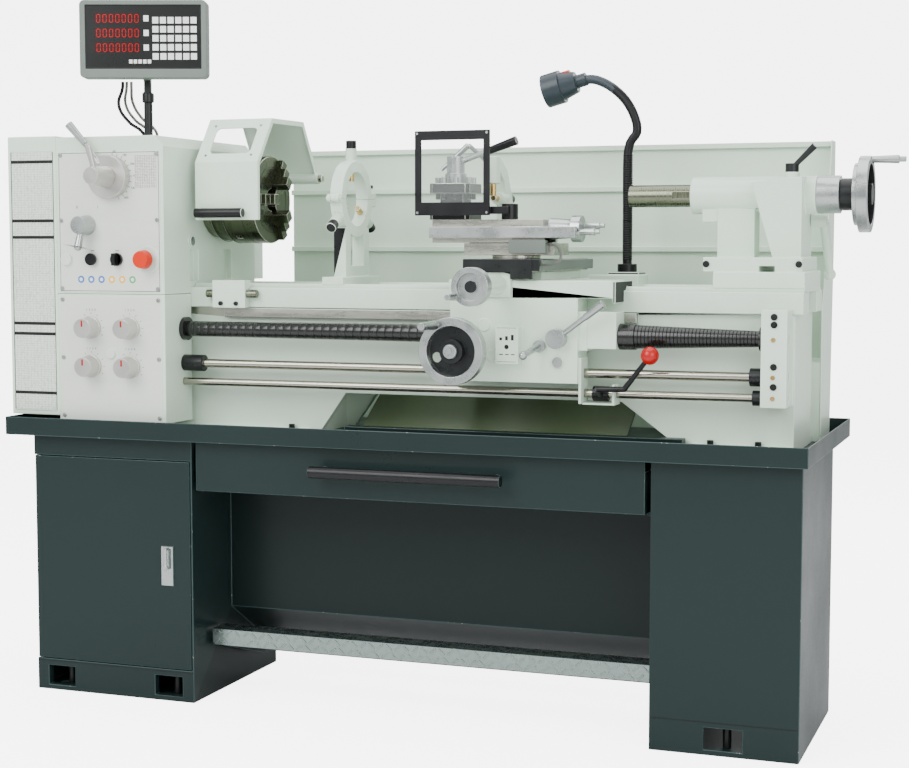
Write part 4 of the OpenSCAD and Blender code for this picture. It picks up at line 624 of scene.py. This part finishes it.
class LATHE_OT_stand(bpy.types.Operator):
    """Finishes the two cabinets, the tray, drawer, door and foot brake"""
    bl_idname = "lathe.stand"
    bl_label = "Stand"

    def execute(self, context):
        detail = context.scene.lathe_detail
        # Painted shade: the left cabinet's faces inside the stand, under the tray, take the darker stand
        # enamel.
        inside = lambda at, n: -515 < at.x < 560 and at.y > -100
        dress("left_cabinet", "stand", 1.6, "stand_edge", [("stand_dark", inside)])
        dress("right_cabinet", "stand", 1.6, "stand_edge")
        dress(
            "chip_tray", "stand", 1.4, "stand_edge",
            [("tray_slope", lambda at, n: at.z > 613 and -185 < at.x < 449 and -61 < at.y < 100),
            ("stand_dark", lambda at, n: at.z > 613 and -155 < at.y < -118)])
        dress("chip_drawer", "stand", 1.2, "stand_edge", [("black", lambda at, n: at.y < -262.2)])
        dress(
            "cabinet_door", "stand", 1.2, "stand_edge",
            [("bright", lambda at, n: at.y < -260.2 or at.z < 75 or at.z > 557)])
        dress("brake_pedal", "stand_dark", 0.8, "stand_edge", [("tread", lambda at, n: at.y < -124)])
        low, high = corners("brake_pedal")
        tread = bmesh.new()
        count = int((high.x - low.x - 40) / detail.tread_pitch)
        for row in range(2):
            for i in range(count):
                at = Vector(
                    (low.x + 24 + i * detail.tread_pitch + row * detail.tread_pitch / 2, -185.4,
                    131.5 + row * 18.5))
                lean = 42 if (i + row) % 2 else -42
                turn = Matrix.Translation(at) @ Matrix.Rotation(math.radians(lean), 4, "Y")
                block(tread, (-9, -0.9, -2.1), (9, 0.9, 2.1), turn)
        settle("tread_bars", tread, "pedal", ["tread"], 0.8)
        seams = bmesh.new()
        for x0, x1 in ((-926, -510), (555, 866)):
            block(seams, (x0 + 2, -260.6, 68.5), (x1 - 2, -259.8, 70.0))
        settle("plinth_seams", seams, "machine", ["ink"])
        latch = bmesh.new()
        x, z = middle("cabinet_door").x + 146, 330
        bar(latch, (x, -273, z - 18), (x, -268, z - 18), 6, 6)
        block(latch, (x - 4, -272, z - 14), (x + 4, -268.5, z + 26))
        settle("door_latch", latch, "door", ["bright"], 0.8)
        return {"FINISHED"}


class LATHE_OT_bed(bpy.types.Operator):
    """Finishes the bed, its rack, the rod bracket, the rods and the screw's spiral covers"""
    bl_idname = "lathe.bed"
    bl_label = "Bed and rods"

    def execute(self, context):
        detail = context.scene.lathe_detail
        ways = lambda at, n: at.z > 904.5 and at.x < 842
        rack = lambda at, n: 882 < at.z < 904.2 and -131 < at.y < -114.9 and at.x < 490
        dress(
            "bed", "enamel", 1.2, "enamel_edge",
            [("ground", lambda at, n: ways(at, n) and (at.z > 949 or n.y < -0.5)), ("cast", ways),
            ("machined", rack)])
        teeth = bmesh.new()
        steps = int(976 / detail.rack_pitch)
        for i in range(steps):
            x = -489 + i * detail.rack_pitch
            block(teeth, (x, -130.6, 881), (x + detail.rack_pitch * 0.45, -115.5, 884.5))
        settle("rack_teeth", teeth, "machine", ["machined"])
        oil = bmesh.new()
        for z in (855, 778, 735):
            bar(oil, (791, -196.2, z), (791, -194.9, z), 5, 5, 16)
        settle("oil_cups", oil, "machine", ["brass"])
        dress(
            "fasteners", "black_steel", 0.7, None, [("bright", lambda at, n: at.y < -254 and at.x < -560)])
        heads = bmesh.new()
        # Painted shade: black hexagons stand in for the dark hollows of the bracket's screw sockets.
        for z in (902, 886, 800, 759):
            bar(heads, (792.5, -201.2, z), (792.5, -197.9, z), 3.4, 3.4, 6)
        settle("screw_sockets", heads, "machine", ["ink"])
        for node in ("control_rod", "feed_rod", "lead_screw"):
            dress(
                node, "rod", 0.6, None,
                [("black_steel", lambda at, n: (at.y - ROD_Y) ** 2 + (at.z - middle(node).z) ** 2 > 150)])
        self.covers(detail.cover_coils)
        return {"FINISHED"}

    def covers(self, coils):
        z = middle("lead_screw").z
        for name, x0, x1, r0, r1, flange in (
                ("left_cover", -575.5, 92, 17.5, 20.5, (27, 10)), ("right_cover", 464, 765, 25, 16.5,
                (28, 34))):
            shape = bmesh.new()
            inner = 12.6
            profile = [(inner, x0), (flange[0], x0), (flange[0], x0 + flange[1])]
            start = x0 + flange[1]
            step = (x1 - 6 - start) / coils
            for i in range(coils):
                t = i / coils
                r = r0 + (r1 - r0) * t
                profile += [
                    (r - 0.9, start + i * step + 0.4), (r, start + i * step + step * 0.15),
                    (r, start + (i + 1) * step - 0.4)]
            profile += [(25, x1 - 5.5), (25, x1), (inner, x1)]
            turned(shape, profile, (0, ROD_Y, z), "X", 40)
            piece = settle(name, shape, None, ["spring"], smooth=30)
            if name == "left_cover":
                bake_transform(piece)
                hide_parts("screw_covers")
            else:
                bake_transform(piece)


class LATHE_OT_headstock(bpy.types.Operator):
    """Finishes the headstock, gearbox and end cover, with their plates, charts, dials and buttons"""
    bl_idname = "lathe.headstock"
    bl_label = "Headstock"

    def execute(self, context):
        near = lambda at, x, z, r: (at.x - x) ** 2 + (at.z - z) ** 2 < r * r
        z0 = AXIS_Z
        dress("headstock", "enamel", 1.4, "enamel_edge", [
            ("yellow", lambda at, n: at.y < -257.2 and near(at, -618, z0 - 139, 31)),
            ("white", lambda at, n: at.y < -257.2 and near(at, -828, z0 - 139, 15)),
            ("plate", lambda at, n: at.y < -255.05 and at.z < 1262),
            ("rod", lambda at, n: at.x > -575.9 and abs(at.y - 170) < 10),
            ("bright", lambda at, n: at.x > -575.9 and abs(at.y + 128) < 13 and at.z < 1075)])
        dress("feed_gearbox", "enamel", 1.4, "enamel_edge", [
            ("brass", lambda at, n: at.y < -257.2 and near(at, -716, 799, 13)),
            ("plate", lambda at, n: at.y < -255.05)])
        dress(
            "end_cover", "sheet", 1.6, "enamel_edge", [("black", lambda at, n: at.x < -985.1),
            ("chart", lambda at, n: at.y < -255.05), ("bright", lambda at, n: at.y > 200.01)])
        dress("direction_lever", "bright", 0.8)
        dress("start_button", "black", 0.8)
        dress("selector_switch", "black", 0.8)
        dress(
            "speed_dial", "silver", 1.2, None,
            [("bright", lambda at, n: (at.x + 709) ** 2 + (at.z - z0 - 48) ** 2 > 2450)])
        dress("range_knob", "silver", 1.2)
        dress("stop_button", "orange", 1.0, None, [("black", lambda at, n: at.y > -270)])
        for i in range(1, 5):
            dress(
                f"feed_knob_{i}", "silver", 1.0, None,
                [("red", lambda at, n: at.y < -297.1 and abs(at.x - middle(f"feed_knob_{i}").x) < 2.2)])
        self.marks()
        return {"FINISHED"}

    def marks(self):
        print_, z0 = bmesh.new(), AXIS_Z
        for i in range(12):
            angle = math.radians(-68 + i * 14)
            way = Vector((math.sin(math.radians(90) - angle), 0, math.cos(math.radians(90) - angle)))
            at = DIAL + way * 58
            number(print_, str((12 - i) * 60 if i % 2 else ""), 7.5, at + Vector((5, -0.1, 0)))
            turn = Matrix.Translation(DIAL + way * 52) @ Matrix.Rotation(-angle, 4, "Y")
            block(print_, (-2.5, -0.15, -0.6), (2.5, 0, 0.6), turn)
        for x in (-768, -666):
            for z in (858, 769):
                for i in range(9):
                    angle = math.radians(-120 + i * 30)
                    turn = Matrix.Translation((x, PLATE_Y, z)) @ Matrix.Rotation(angle, 4, "Y")
                    block(print_, (-0.5, -0.15, 31), (0.5, 0, 35), turn)
                number(print_, "1  2  3  4", 7, (x, PLATE_Y - 0.1, z + 41))
        for x, z in ((-761, 1034), (-696, 1034)):
            block(print_, (x - 5, PLATE_Y - 0.2, z), (x + 5, PLATE_Y, z + 1.4))
        number(print_, "0", 9, (-800, PLATE_Y - 0.1, z0 - 20))
        number(print_, "1", 9, (-745, PLATE_Y - 0.1, z0 - 20))
        for x in (-848, -585):
            block(
                print_, (x + (1 if x < -700 else -2.2), PLATE_Y - 0.12, 942),
                (x + (2.2 if x < -700 else -1), PLATE_Y, 1258))
        for z in (942, 1257):
            block(print_, (-847, PLATE_Y - 0.12, z), (-586, PLATE_Y, z + 1.2))
        settle("printed_marks", print_, "machine", ["ink"])
        spots = bmesh.new()
        for i, kind in enumerate((0, 0, 0, 1, 1, 2)):
            at = Vector((-792 + i * 27, PLATE_Y, 969))
            bar(spots, at, at + Vector((0, -0.25, 0)), 8.5, 8.5, 28, kind)
            bar(spots, at + Vector((0, -0.2, 0)), at + Vector((0, -0.4, 0)), 4.2, 4.2, 20, 3)
        settle("plain_spots", spots, "machine", ["blue", "yellow", "green", "white"])
        table = bmesh.new()
        block(table, (-648, PLATE_Y - 0.3, z0 + 22), (-592, PLATE_Y, z0 + 96))
        settle("speed_chart", table, "machine", ["small_chart"])
        rules = bmesh.new()
        for z in (1236, 1100, 1062, 862, 838, 700):
            block(rules, (-976, -257.1, z), (-863, -256.5, z + 7))
        for x in (-976, -864):
            block(rules, (x, -257.0, 664), (x + 1.2, -256.5, 1262))
        settle("chart_headings", rules, "end_cover", ["ink"])


class LATHE_OT_spindle(bpy.types.Operator):
    """Finishes the spindle, the chuck and its jaws"""
    bl_idname = "lathe.spindle"
    bl_label = "Spindle and chuck"

    def execute(self, context):
        dress("spindle", "turned", 1.2)
        dress("chuck", "chuck", 1.6, "machined")
        for i in (1, 2, 3):
            dress(f"jaw_{i}", "chuck", 0.8, "machined")
        ring = bmesh.new()
        for x, r in ((-545, 98.2), (-519, 98.2), (-512, 102.2), (-464, 102.2), (-434, 102.2)):
            turned(
                ring, [(r - 1, x), (r + 0.25, x), (r + 0.25, x + 1.2), (r - 1, x + 1.2)], (0, 0, AXIS_Z),
                "X", 96)
        turned(ring, [(76, -430.4), (78, -430.4), (78, -429.6), (76, -429.6)], (0, 0, AXIS_Z), "X", 72)
        settle("chuck_lines", ring, "spindle", ["black_steel"], smooth=60)
        # Black steel cap screws on the chuck face. The black hexagon in each head is painted shade for the
        # socket's hollow.
        screws = bmesh.new()
        for i in range(6):
            turn = Matrix.Translation((0, 0, AXIS_Z)) @ Matrix.Rotation(math.radians(30 + 60 * i), 4, "X")
            bar(screws, turn @ Vector((-430.5, 60, 0)), turn @ Vector((-429.2, 60, 0)), 6.5, 6.5, 24)
            bar(screws, turn @ Vector((-429.3, 60, 0)), turn @ Vector((-428.9, 60, 0)), 3.4, 3.4, 6, 1)
        settle("chuck_screws", screws, "spindle", ["black_steel", "ink"])
        return {"FINISHED"}


class LATHE_OT_guards(bpy.types.Operator):
    """Finishes the chuck guard, the splash guard and the tool guard with their panes"""
    bl_idname = "lathe.guards"
    bl_label = "Guards"

    def execute(self, context):
        z0 = AXIS_Z
        fold = Vector((0, -150, z0 + 83))
        along = Vector((0, 78, 103)).normalized()
        inward = Vector((0, along.z, -along.y))

        def pane(at, n):
            off = at - fold
            off.x = 0
            return 2.9 < off.dot(inward) < 5.2 and 15 < off.dot(along) < 113 and -535 < at.x < -409
        dress(
            "chuck_guard", "sheet", 0.9, "enamel_edge",
            [("glass", pane), ("black", lambda at, n: at.y < -150.1)])
        dress("splash_guard", "sheet", 0.9)
        dress(
            "tool_guard", "black", 0.9, None,
            [("glass", lambda at, n: -174.2 < at.y < -171.8 and 17 < at.x < 159 and 1140 < at.z < 1276
            and abs(n.y) > 0.9)])
        screws = bmesh.new()
        for x in (-530, -414):
            for s in (20, 108):
                at = Vector((x, 0, 0)) + fold + along * s
                bar(screws, at, at - inward * 1.6, 3.4, 2.6, 16)
        settle("window_screws", screws, "chuck_guard", ["bright"])
        corner = bmesh.new()
        for x in (8, 168):
            for z in (1118, 1289):
                bar(corner, (x, -176, z), (x, -177.4, z), 3, 2.4, 12)
        settle("frame_screws", corner, "tool_guard", ["bright"])
        return {"FINISHED"}


class LATHE_OT_carriage(bpy.types.Operator):
    """Finishes the saddle, apron, handwheels and levers"""
    bl_idname = "lathe.carriage"
    bl_label = "Carriage"

    def execute(self, context):
        z0 = AXIS_Z
        finger = lambda at, n: (at.x - 123) ** 2 + at.y ** 2 < 60 and at.z < z0 + 32
        side_finger = lambda at, n: at.y < 46 and 109 < at.x < 125 and abs(at.z - z0) < 8 and at.y > 5
        pipe = lambda at, n: at.z > z0 + 55 and (
            at.x - 123) ** 2 + at.y ** 2 > 280 and at.y < 40 and at.x < 112
        dress(
            "saddle", "enamel", 1.4, "enamel_edge", [("rubber", lambda at, n: at.x > 456.1 and at.z < 974),
            ("brass", finger), ("brass", side_finger), ("bright", pipe), ("black", lambda at, n: at.y > 125
            and abs(at.z - z0) < 14), ("black_steel", lambda at, n: at.z > 981.1 and 366 < at.x < 442
            and at.y > 80 and at.z < 990), ("ground", lambda at, n: at.z > 989.5 and 131 < at.x < 286
            and at.z < 999)])
        dress("apron", "enamel", 1.4, "enamel_edge", [
            ("bright", lambda at, n: at.y < -205.1 and (at.x - 338) ** 2 + (at.z - 800) ** 2 < 190)])
        far = lambda at, n: (at.x - WHEEL.x) ** 2 + (at.z - WHEEL.z) ** 2 > 2850
        dress(
            "carriage_wheel", "black_steel", 1.2, None,
            [("bright", lambda at, n: far(at, n) or at.y < -300.2)])
        dress("half_nut_lever", "bright", 0.8)
        dress("feed_lever", "bright", 0.8)
        dress("start_lever", "black", 0.8, None, [("red", lambda at, n: (at - BALL).length < 19.6)])
        marks = bmesh.new()
        for x, z in ((210, 872), (210, 800)):
            block(marks, (x, -231.2, z), (x + 44, -230.9, z + 0.8))
        for i in range(3):
            block(marks, (216 + i * 13, -231.2, 846), (222 + i * 13, -230.9, 852 + i * 3))
            block(marks, (216 + i * 13, -231.2, 815), (224 + i * 13, -230.9, 817))
        bar(marks, (232, -231.2, 832), (232, -230.9, 832), 5, 5, 24)
        settle("lever_symbols", marks, "carriage", ["ink"])
        hubs = bmesh.new()
        turned(hubs, [(0, -306), (14, -306), (16, -303), (16, -299), (0, -299)], WHEEL, "Y", 40)
        turned(hubs, [(0, -309), (6, -309), (6, -305), (0, -305)], WHEEL, "Y", 6)
        settle("wheel_cap", hubs, "carriage_wheel", ["bright"], 0.8)
        return {"FINISHED"}


class LATHE_OT_slides(bpy.types.Operator):
    """Finishes the cross slide, the compound slide, the tool post and their wheels"""
    bl_idname = "lathe.slides"
    bl_label = "Slides and tool post"

    def execute(self, context):
        dress("cross_slide", "machined", 1.0, None, [
            ("white", lambda at, n: at.x > 285.1 and at.y < -205), ("case", lambda at, n: at.x > 285.1),
            ("black_steel", lambda at, n: at.y < -215.1)])
        dress(
            "cross_wheel", "bright", 1.0, None,
            [("black_steel", lambda at, n: at.y < -382 and (at.x - 206) ** 2 + (at.z - 963) ** 2 < 160)])
        dress("compound_base", "machined", 1.0, None, [("case", lambda at, n: at.y < -145.1)])
        dress(
            "top_slide", "machined", 1.0, None, [("case", lambda at, n: at.y < -145.1 and abs(n.y) < 0.5),
            ("bright", lambda at, n: at.x > 286.2 or at.y < -145.1)])
        dress("compound_wheel", "bright", 0.9)
        dress("tool_post", "black_steel", 1.2, "machined", [("bright", lambda at, n: at.z > 1183.2)])
        dress(
            "tool_post_lever", "bright", 1.0, None,
            [("black", lambda at, n: (Vector((at.x - 66, at.y + 90))).length > 80)])
        scale = bmesh.new()
        for i in range(31):
            angle = math.radians(-60 + i * 4)
            turn = Matrix.Translation((208, -90, 1018)) @ Matrix.Rotation(angle, 4, "Z")
            block(scale, (-0.4, -53.3, 1), (0.4, -52.5, 4 if i % 5 else 6.5), turn)
        settle("swivel_scale", scale, "compound", ["ink"])
        collar = bmesh.new()
        for i in range(40):
            turn = Matrix.Translation((206, 0, 963)) @ Matrix.Rotation(math.tau * i / 40, 4, "Y")
            block(collar, (-0.3, -346, 23.8), (0.3, -339 if i % 5 else -335, 24.15), turn)
        settle("cross_dial_lines", collar, "cross_wheel", ["ink"])
        lines = bmesh.new()
        for i in range(40):
            turn = Matrix.Translation((0, -90, 1083)) @ Matrix.Rotation(math.tau * i / 40, 4, "X")
            block(lines, (326, -0.3, 20.1), (333 if i % 5 else 330, 0.3, 20.6), turn)
        settle("compound_dial_lines", lines, "top_slide", ["ink"])
        # Painted shade: black discs stand in for the dark insides of the gland's holes.
        holes = bmesh.new()
        for i in range(2):
            for j in range(4):
                at = Vector((289.5 + j * 3, -221.2, 1000 + i * 9))
                bar(holes, at, at + Vector((0, -0.3, 0)), 1.1, 1.1, 10)
        settle("gland_holes", holes, "cross_slide", ["ink"])
        lead = [
            (296.5, -154, 1050), (306, -154, 1050), (326, -166, 1042), (338, -186, 1024), (336, -204, 1010),
            (318, -213, 1006), (301.5, -213, 1006)]
        piece = cable("scale_lead", lead, 3, "armour")
        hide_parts("scale_cable")
        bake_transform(piece)
        return {"FINISHED"}


class LATHE_OT_tailstock(bpy.types.Operator):
    """Finishes the tailstock, its quill, wheel and clamps, and the bed stop"""
    bl_idname = "lathe.tailstock"
    bl_label = "Tailstock"

    def execute(self, context):
        z0 = AXIS_Z
        radius = lambda at: math.hypot(at.y, at.z - z0)
        dress("tailstock", "enamel", 1.8, "enamel_edge", [("machined", lambda at, n: at.z < 950)])
        # Painted shade: the bore at the quill's front end is painted black for the dark inside of the hole.
        dress("quill", "turned", 1.2, None, [("ink", lambda at, n: at.x < 519 and radius(at) < 12.3)])
        dress("tail_wheel", "black_steel", 1.0, None, [
            ("bright", lambda at, n: radius(at) > 64 or at.x < 896.1)])
        dress("quill_lock", "black_steel", 0.8)
        dress("tail_clamp", "cast", 1.0)
        dress(
            "bed_stop", "cast", 0.9, None,
            [("turned", lambda at, n: abs(at.y + 142) < 9.5 and abs(at.z - 936) < 9.5),
            ("black_steel", lambda at, n: at.y < -154.1)])
        marks = bmesh.new()
        low, high = corners("quill")
        face = (high.y - low.y) / 2
        for i in range(21):
            turn = Matrix.Translation((0, 0, z0)) @ Matrix.Rotation(math.radians(60), 4, "X")
            block(
                marks, (470 + i * 5, -0.15, face - 0.1), (470.5 + i * 5, 4 if i % 5 else 7, face + 0.15),
                turn)
        settle("quill_scale", marks, "quill", ["ink"])
        # Black steel screw heads on the tailstock foot. The black hexagon in each head is painted shade for
        # the socket's hollow.
        foot = bmesh.new()
        for x in (632, 826):
            bar(foot, (x, -102, 1008), (x, -106, 1008), 7, 7, 20)
            bar(foot, (x, -105.8, 1008), (x, -106.2, 1008), 3.6, 3.6, 6, 1)
        settle("setover_screws", foot, "tailstock", ["black_steel", "ink"], 0)
        return {"FINISHED"}


class LATHE_OT_steady(bpy.types.Operator):
    """Finishes the fixed steady"""
    bl_idname = "lathe.steady"
    bl_label = "Fixed steady"

    def execute(self, context):
        z0 = AXIS_Z
        far = lambda at: math.hypot(at.y, at.z - z0)
        tips = lambda at, n: far(at) < 61.5 and abs(at.x - STEADY_X) < 8
        knobs = lambda at, n: far(at) > 114.9 and abs(at.x - STEADY_X) < 13 and at.z > z0 - 110
        dress(
            "steady_rest", "cast", 1.2, "enamel_edge", [("brass", tips), ("black", knobs),
            ("machined", lambda at, n: at.z < 950)])
        dress(
            "steady_top", "cast", 1.2, "enamel_edge", [("brass", tips), ("black", knobs),
            ("black", lambda at, n: at.y > 80 and at.z > z0 + 16)])
        return {"FINISHED"}


class LATHE_OT_readout(bpy.types.Operator):
    """Finishes the readout, its keys, its post and its leads"""
    bl_idname = "lathe.readout"
    bl_label = "Readout"

    def execute(self, context):
        dress("dro_post", "black_steel", 0.8)
        turn = Matrix.Translation((-735, -40, 0)) @ Matrix.Rotation(math.radians(20), 4, "Z")
        back = turn.inverted()
        dress(
            "dro_display", "case", 2.2, None, [("black_steel", lambda at, n: at.z < 1439),
            ("screen", lambda at, n: (back @ at).y < -53.5 and (back @ at).y > -57.9
            and abs((back @ at).x) < 137 and 1461 < at.z < 1611)])
        glow = bmesh.new()
        for row in range(3):
            z = 1568 - row * 34
            block(glow, (-116, -55.2, z), (-8, -54, z + 23), turn, 0)
            for i in range(7):
                x = -110 + i * 15
                for dx, dz, w, h in ((0, 3, 1.6, 7.5), (0, 12, 1.6, 7.5), (8, 3, 1.6, 7.5),
                                     (8, 12, 1.6, 7.5), (1.6, 1.5, 6.4, 1.6), (1.6, 19.5, 6.4, 1.6)):
                    block(
                        glow, (x + dx, -55.5, z + dz - 0.5), (x + dx + w, -55.1, z + dz + h - 0.5), turn, 1)
            block(glow, (1, -55.4, z + 4), (13, -54, z + 18), turn, 2)
        for row in range(5):
            for col in range(6):
                block(
                    glow, (22 + col * 18, -56.2, 1483 + row * 21), (36 + col * 18, -54, 1498 + row * 21),
                    turn, 2)
        for col in range(5):
            block(glow, (-34 + col * 11, -55.6, 1474), (-26 + col * 11, -54, 1483), turn, 2)
        for z in (1464, 1609):
            block(glow, (-134, -54.6, z), (134, -54, z + 0.8), turn, 2)
        for x in (-134, 133):
            block(glow, (x, -54.6, 1464), (x + 0.8, -54, 1609.5), turn, 2)
        settle("readout_face", glow, "display", ["digits", "red", "white"], 0)
        paths = (
            ("black_lead", 4, "rubber", [(-812, -26, 1440), (-813, -26, 1425), (-826, -23, 1385),
            (-804, -14, 1345), (-772, -3, 1318), (-770, 0, 1306), (-770, 0, 1295.5)]),
            ("scale_lead_x", 3.5, "armour", [(-802, -24, 1440), (-803, -24, 1425), (-810, -18, 1388),
            (-790, -10, 1350), (-758, 0, 1322), (-754, 4, 1306), (-754, 4, 1295.5)]),
            ("scale_lead_z", 3.5, "armour", [(-792, -20, 1440), (-792, -20, 1425), (-794, -12, 1392),
            (-776, -4, 1356), (-743, 6, 1324), (-738, 8, 1306), (-738, 8, 1295.5)]))
        for name, radius, paint, points in paths:
            piece = cable(name, points, radius, paint)
            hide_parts("dro_cables")
            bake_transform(piece)
        return {"FINISHED"}


class LATHE_OT_work_lamp(bpy.types.Operator):
    """Finishes the work lamp and its ribbed neck"""
    bl_idname = "lathe.work_lamp"
    bl_label = "Work lamp"

    def execute(self, context):
        head = Matrix.Translation(LAMP_HEAD) @ Matrix.Rotation(math.radians(-105), 4, "Y")
        inside = head.inverted()
        bulb = lambda at, n: math.hypot(*(inside @ at).xy) < 22.2 and 61.9 < (inside @ at).z < 83
        switch = lambda at, n: (inside @ at).x > 24 and abs(
            (inside @ at).y) < 8.2 and 33 < (inside @ at).z < 55
        white = lambda at, n: math.hypot(*(inside @ at).xy) < 35.3 and 62 < (inside @ at).z < 102.5
        dress("work_lamp", "lamp", 0.8, None, [("bulb", bulb), ("orange", switch), ("white", white),
                                              ("black", lambda at, n: at.z < 1430 and at.x > 372)])
        rings = bmesh.new()
        for i in range(46):
            z = 1014 + i * 5.2
            turned(
                rings, [(10.2, z), (11.6, z + 1.2), (11.6, z + 3.0), (10.2, z + 4.2)], (404, 120, 0), "Z",
                20)
        settle("neck_ribs", rings, "lamp", ["black"], smooth=60)
        return {"FINISHED"}


class LATHE_OT_motor(bpy.types.Operator):
    """Finishes the motor inside the headstock-end cabinet"""
    bl_idname = "lathe.motor"
    bl_label = "Motor"

    def execute(self, context):
        dress("drive_motor", "motor", 1.2, None, [("turned", lambda at, n: at.x < -856)])
        fins = bmesh.new()
        for i in range(28):
            turn = Matrix.Translation((0, -20, 330)) @ Matrix.Rotation(math.tau * i / 28, 4, "X")
            if 5 < i < 23 or not 5 < (i + 14) % 28 < 9:
                block(fins, (-840, -1.2, 83), (-645, 1.2, 90), turn)
        settle("motor_fins", fins, "machine", ["motor"], 0)
        return {"FINISHED"}


STEPS = (
    LATHE_OT_stage, LATHE_OT_stand, LATHE_OT_bed, LATHE_OT_headstock, LATHE_OT_spindle, LATHE_OT_guards,
    LATHE_OT_carriage, LATHE_OT_slides, LATHE_OT_tailstock, LATHE_OT_steady, LATHE_OT_readout,
    LATHE_OT_work_lamp, LATHE_OT_motor)


class LATHE_PT_panel(bpy.types.Panel):
    bl_idname = "LATHE_PT_panel"
    bl_label = "Centre lathe"
    bl_space_type = "VIEW_3D"
    bl_region_type = "UI"
    bl_category = "Lathe"

    def draw(self, context):
        for settings in (context.scene.lathe_look, context.scene.lathe_detail, context.scene.lathe_stage):
            for name in settings.__annotations__:
                self.layout.prop(settings, name)
        for step in STEPS:
            self.layout.operator(step.bl_idname)


SETTINGS = (("lathe_look", LatheLook), ("lathe_detail", LatheDetail), ("lathe_stage", LatheStage))


def register():
    for cls in (LatheLook, LatheDetail, LatheStage, *STEPS, LATHE_PT_panel):
        bpy.utils.register_class(cls)
    for name, cls in SETTINGS:
        setattr(bpy.types.Scene, name, bpy.props.PointerProperty(type=cls))


def unregister():
    for name, _ in SETTINGS:
        delattr(bpy.types.Scene, name)
    for cls in reversed((LatheLook, LatheDetail, LatheStage, *STEPS, LATHE_PT_panel)):
        bpy.utils.unregister_class(cls)


def main():
    register()
    make_finishes(bpy.context.scene.lathe_look)
    for step in STEPS:
        getattr(bpy.ops.lathe, step.bl_idname.split(".")[1])()


if __name__ == "__main__":
    main()
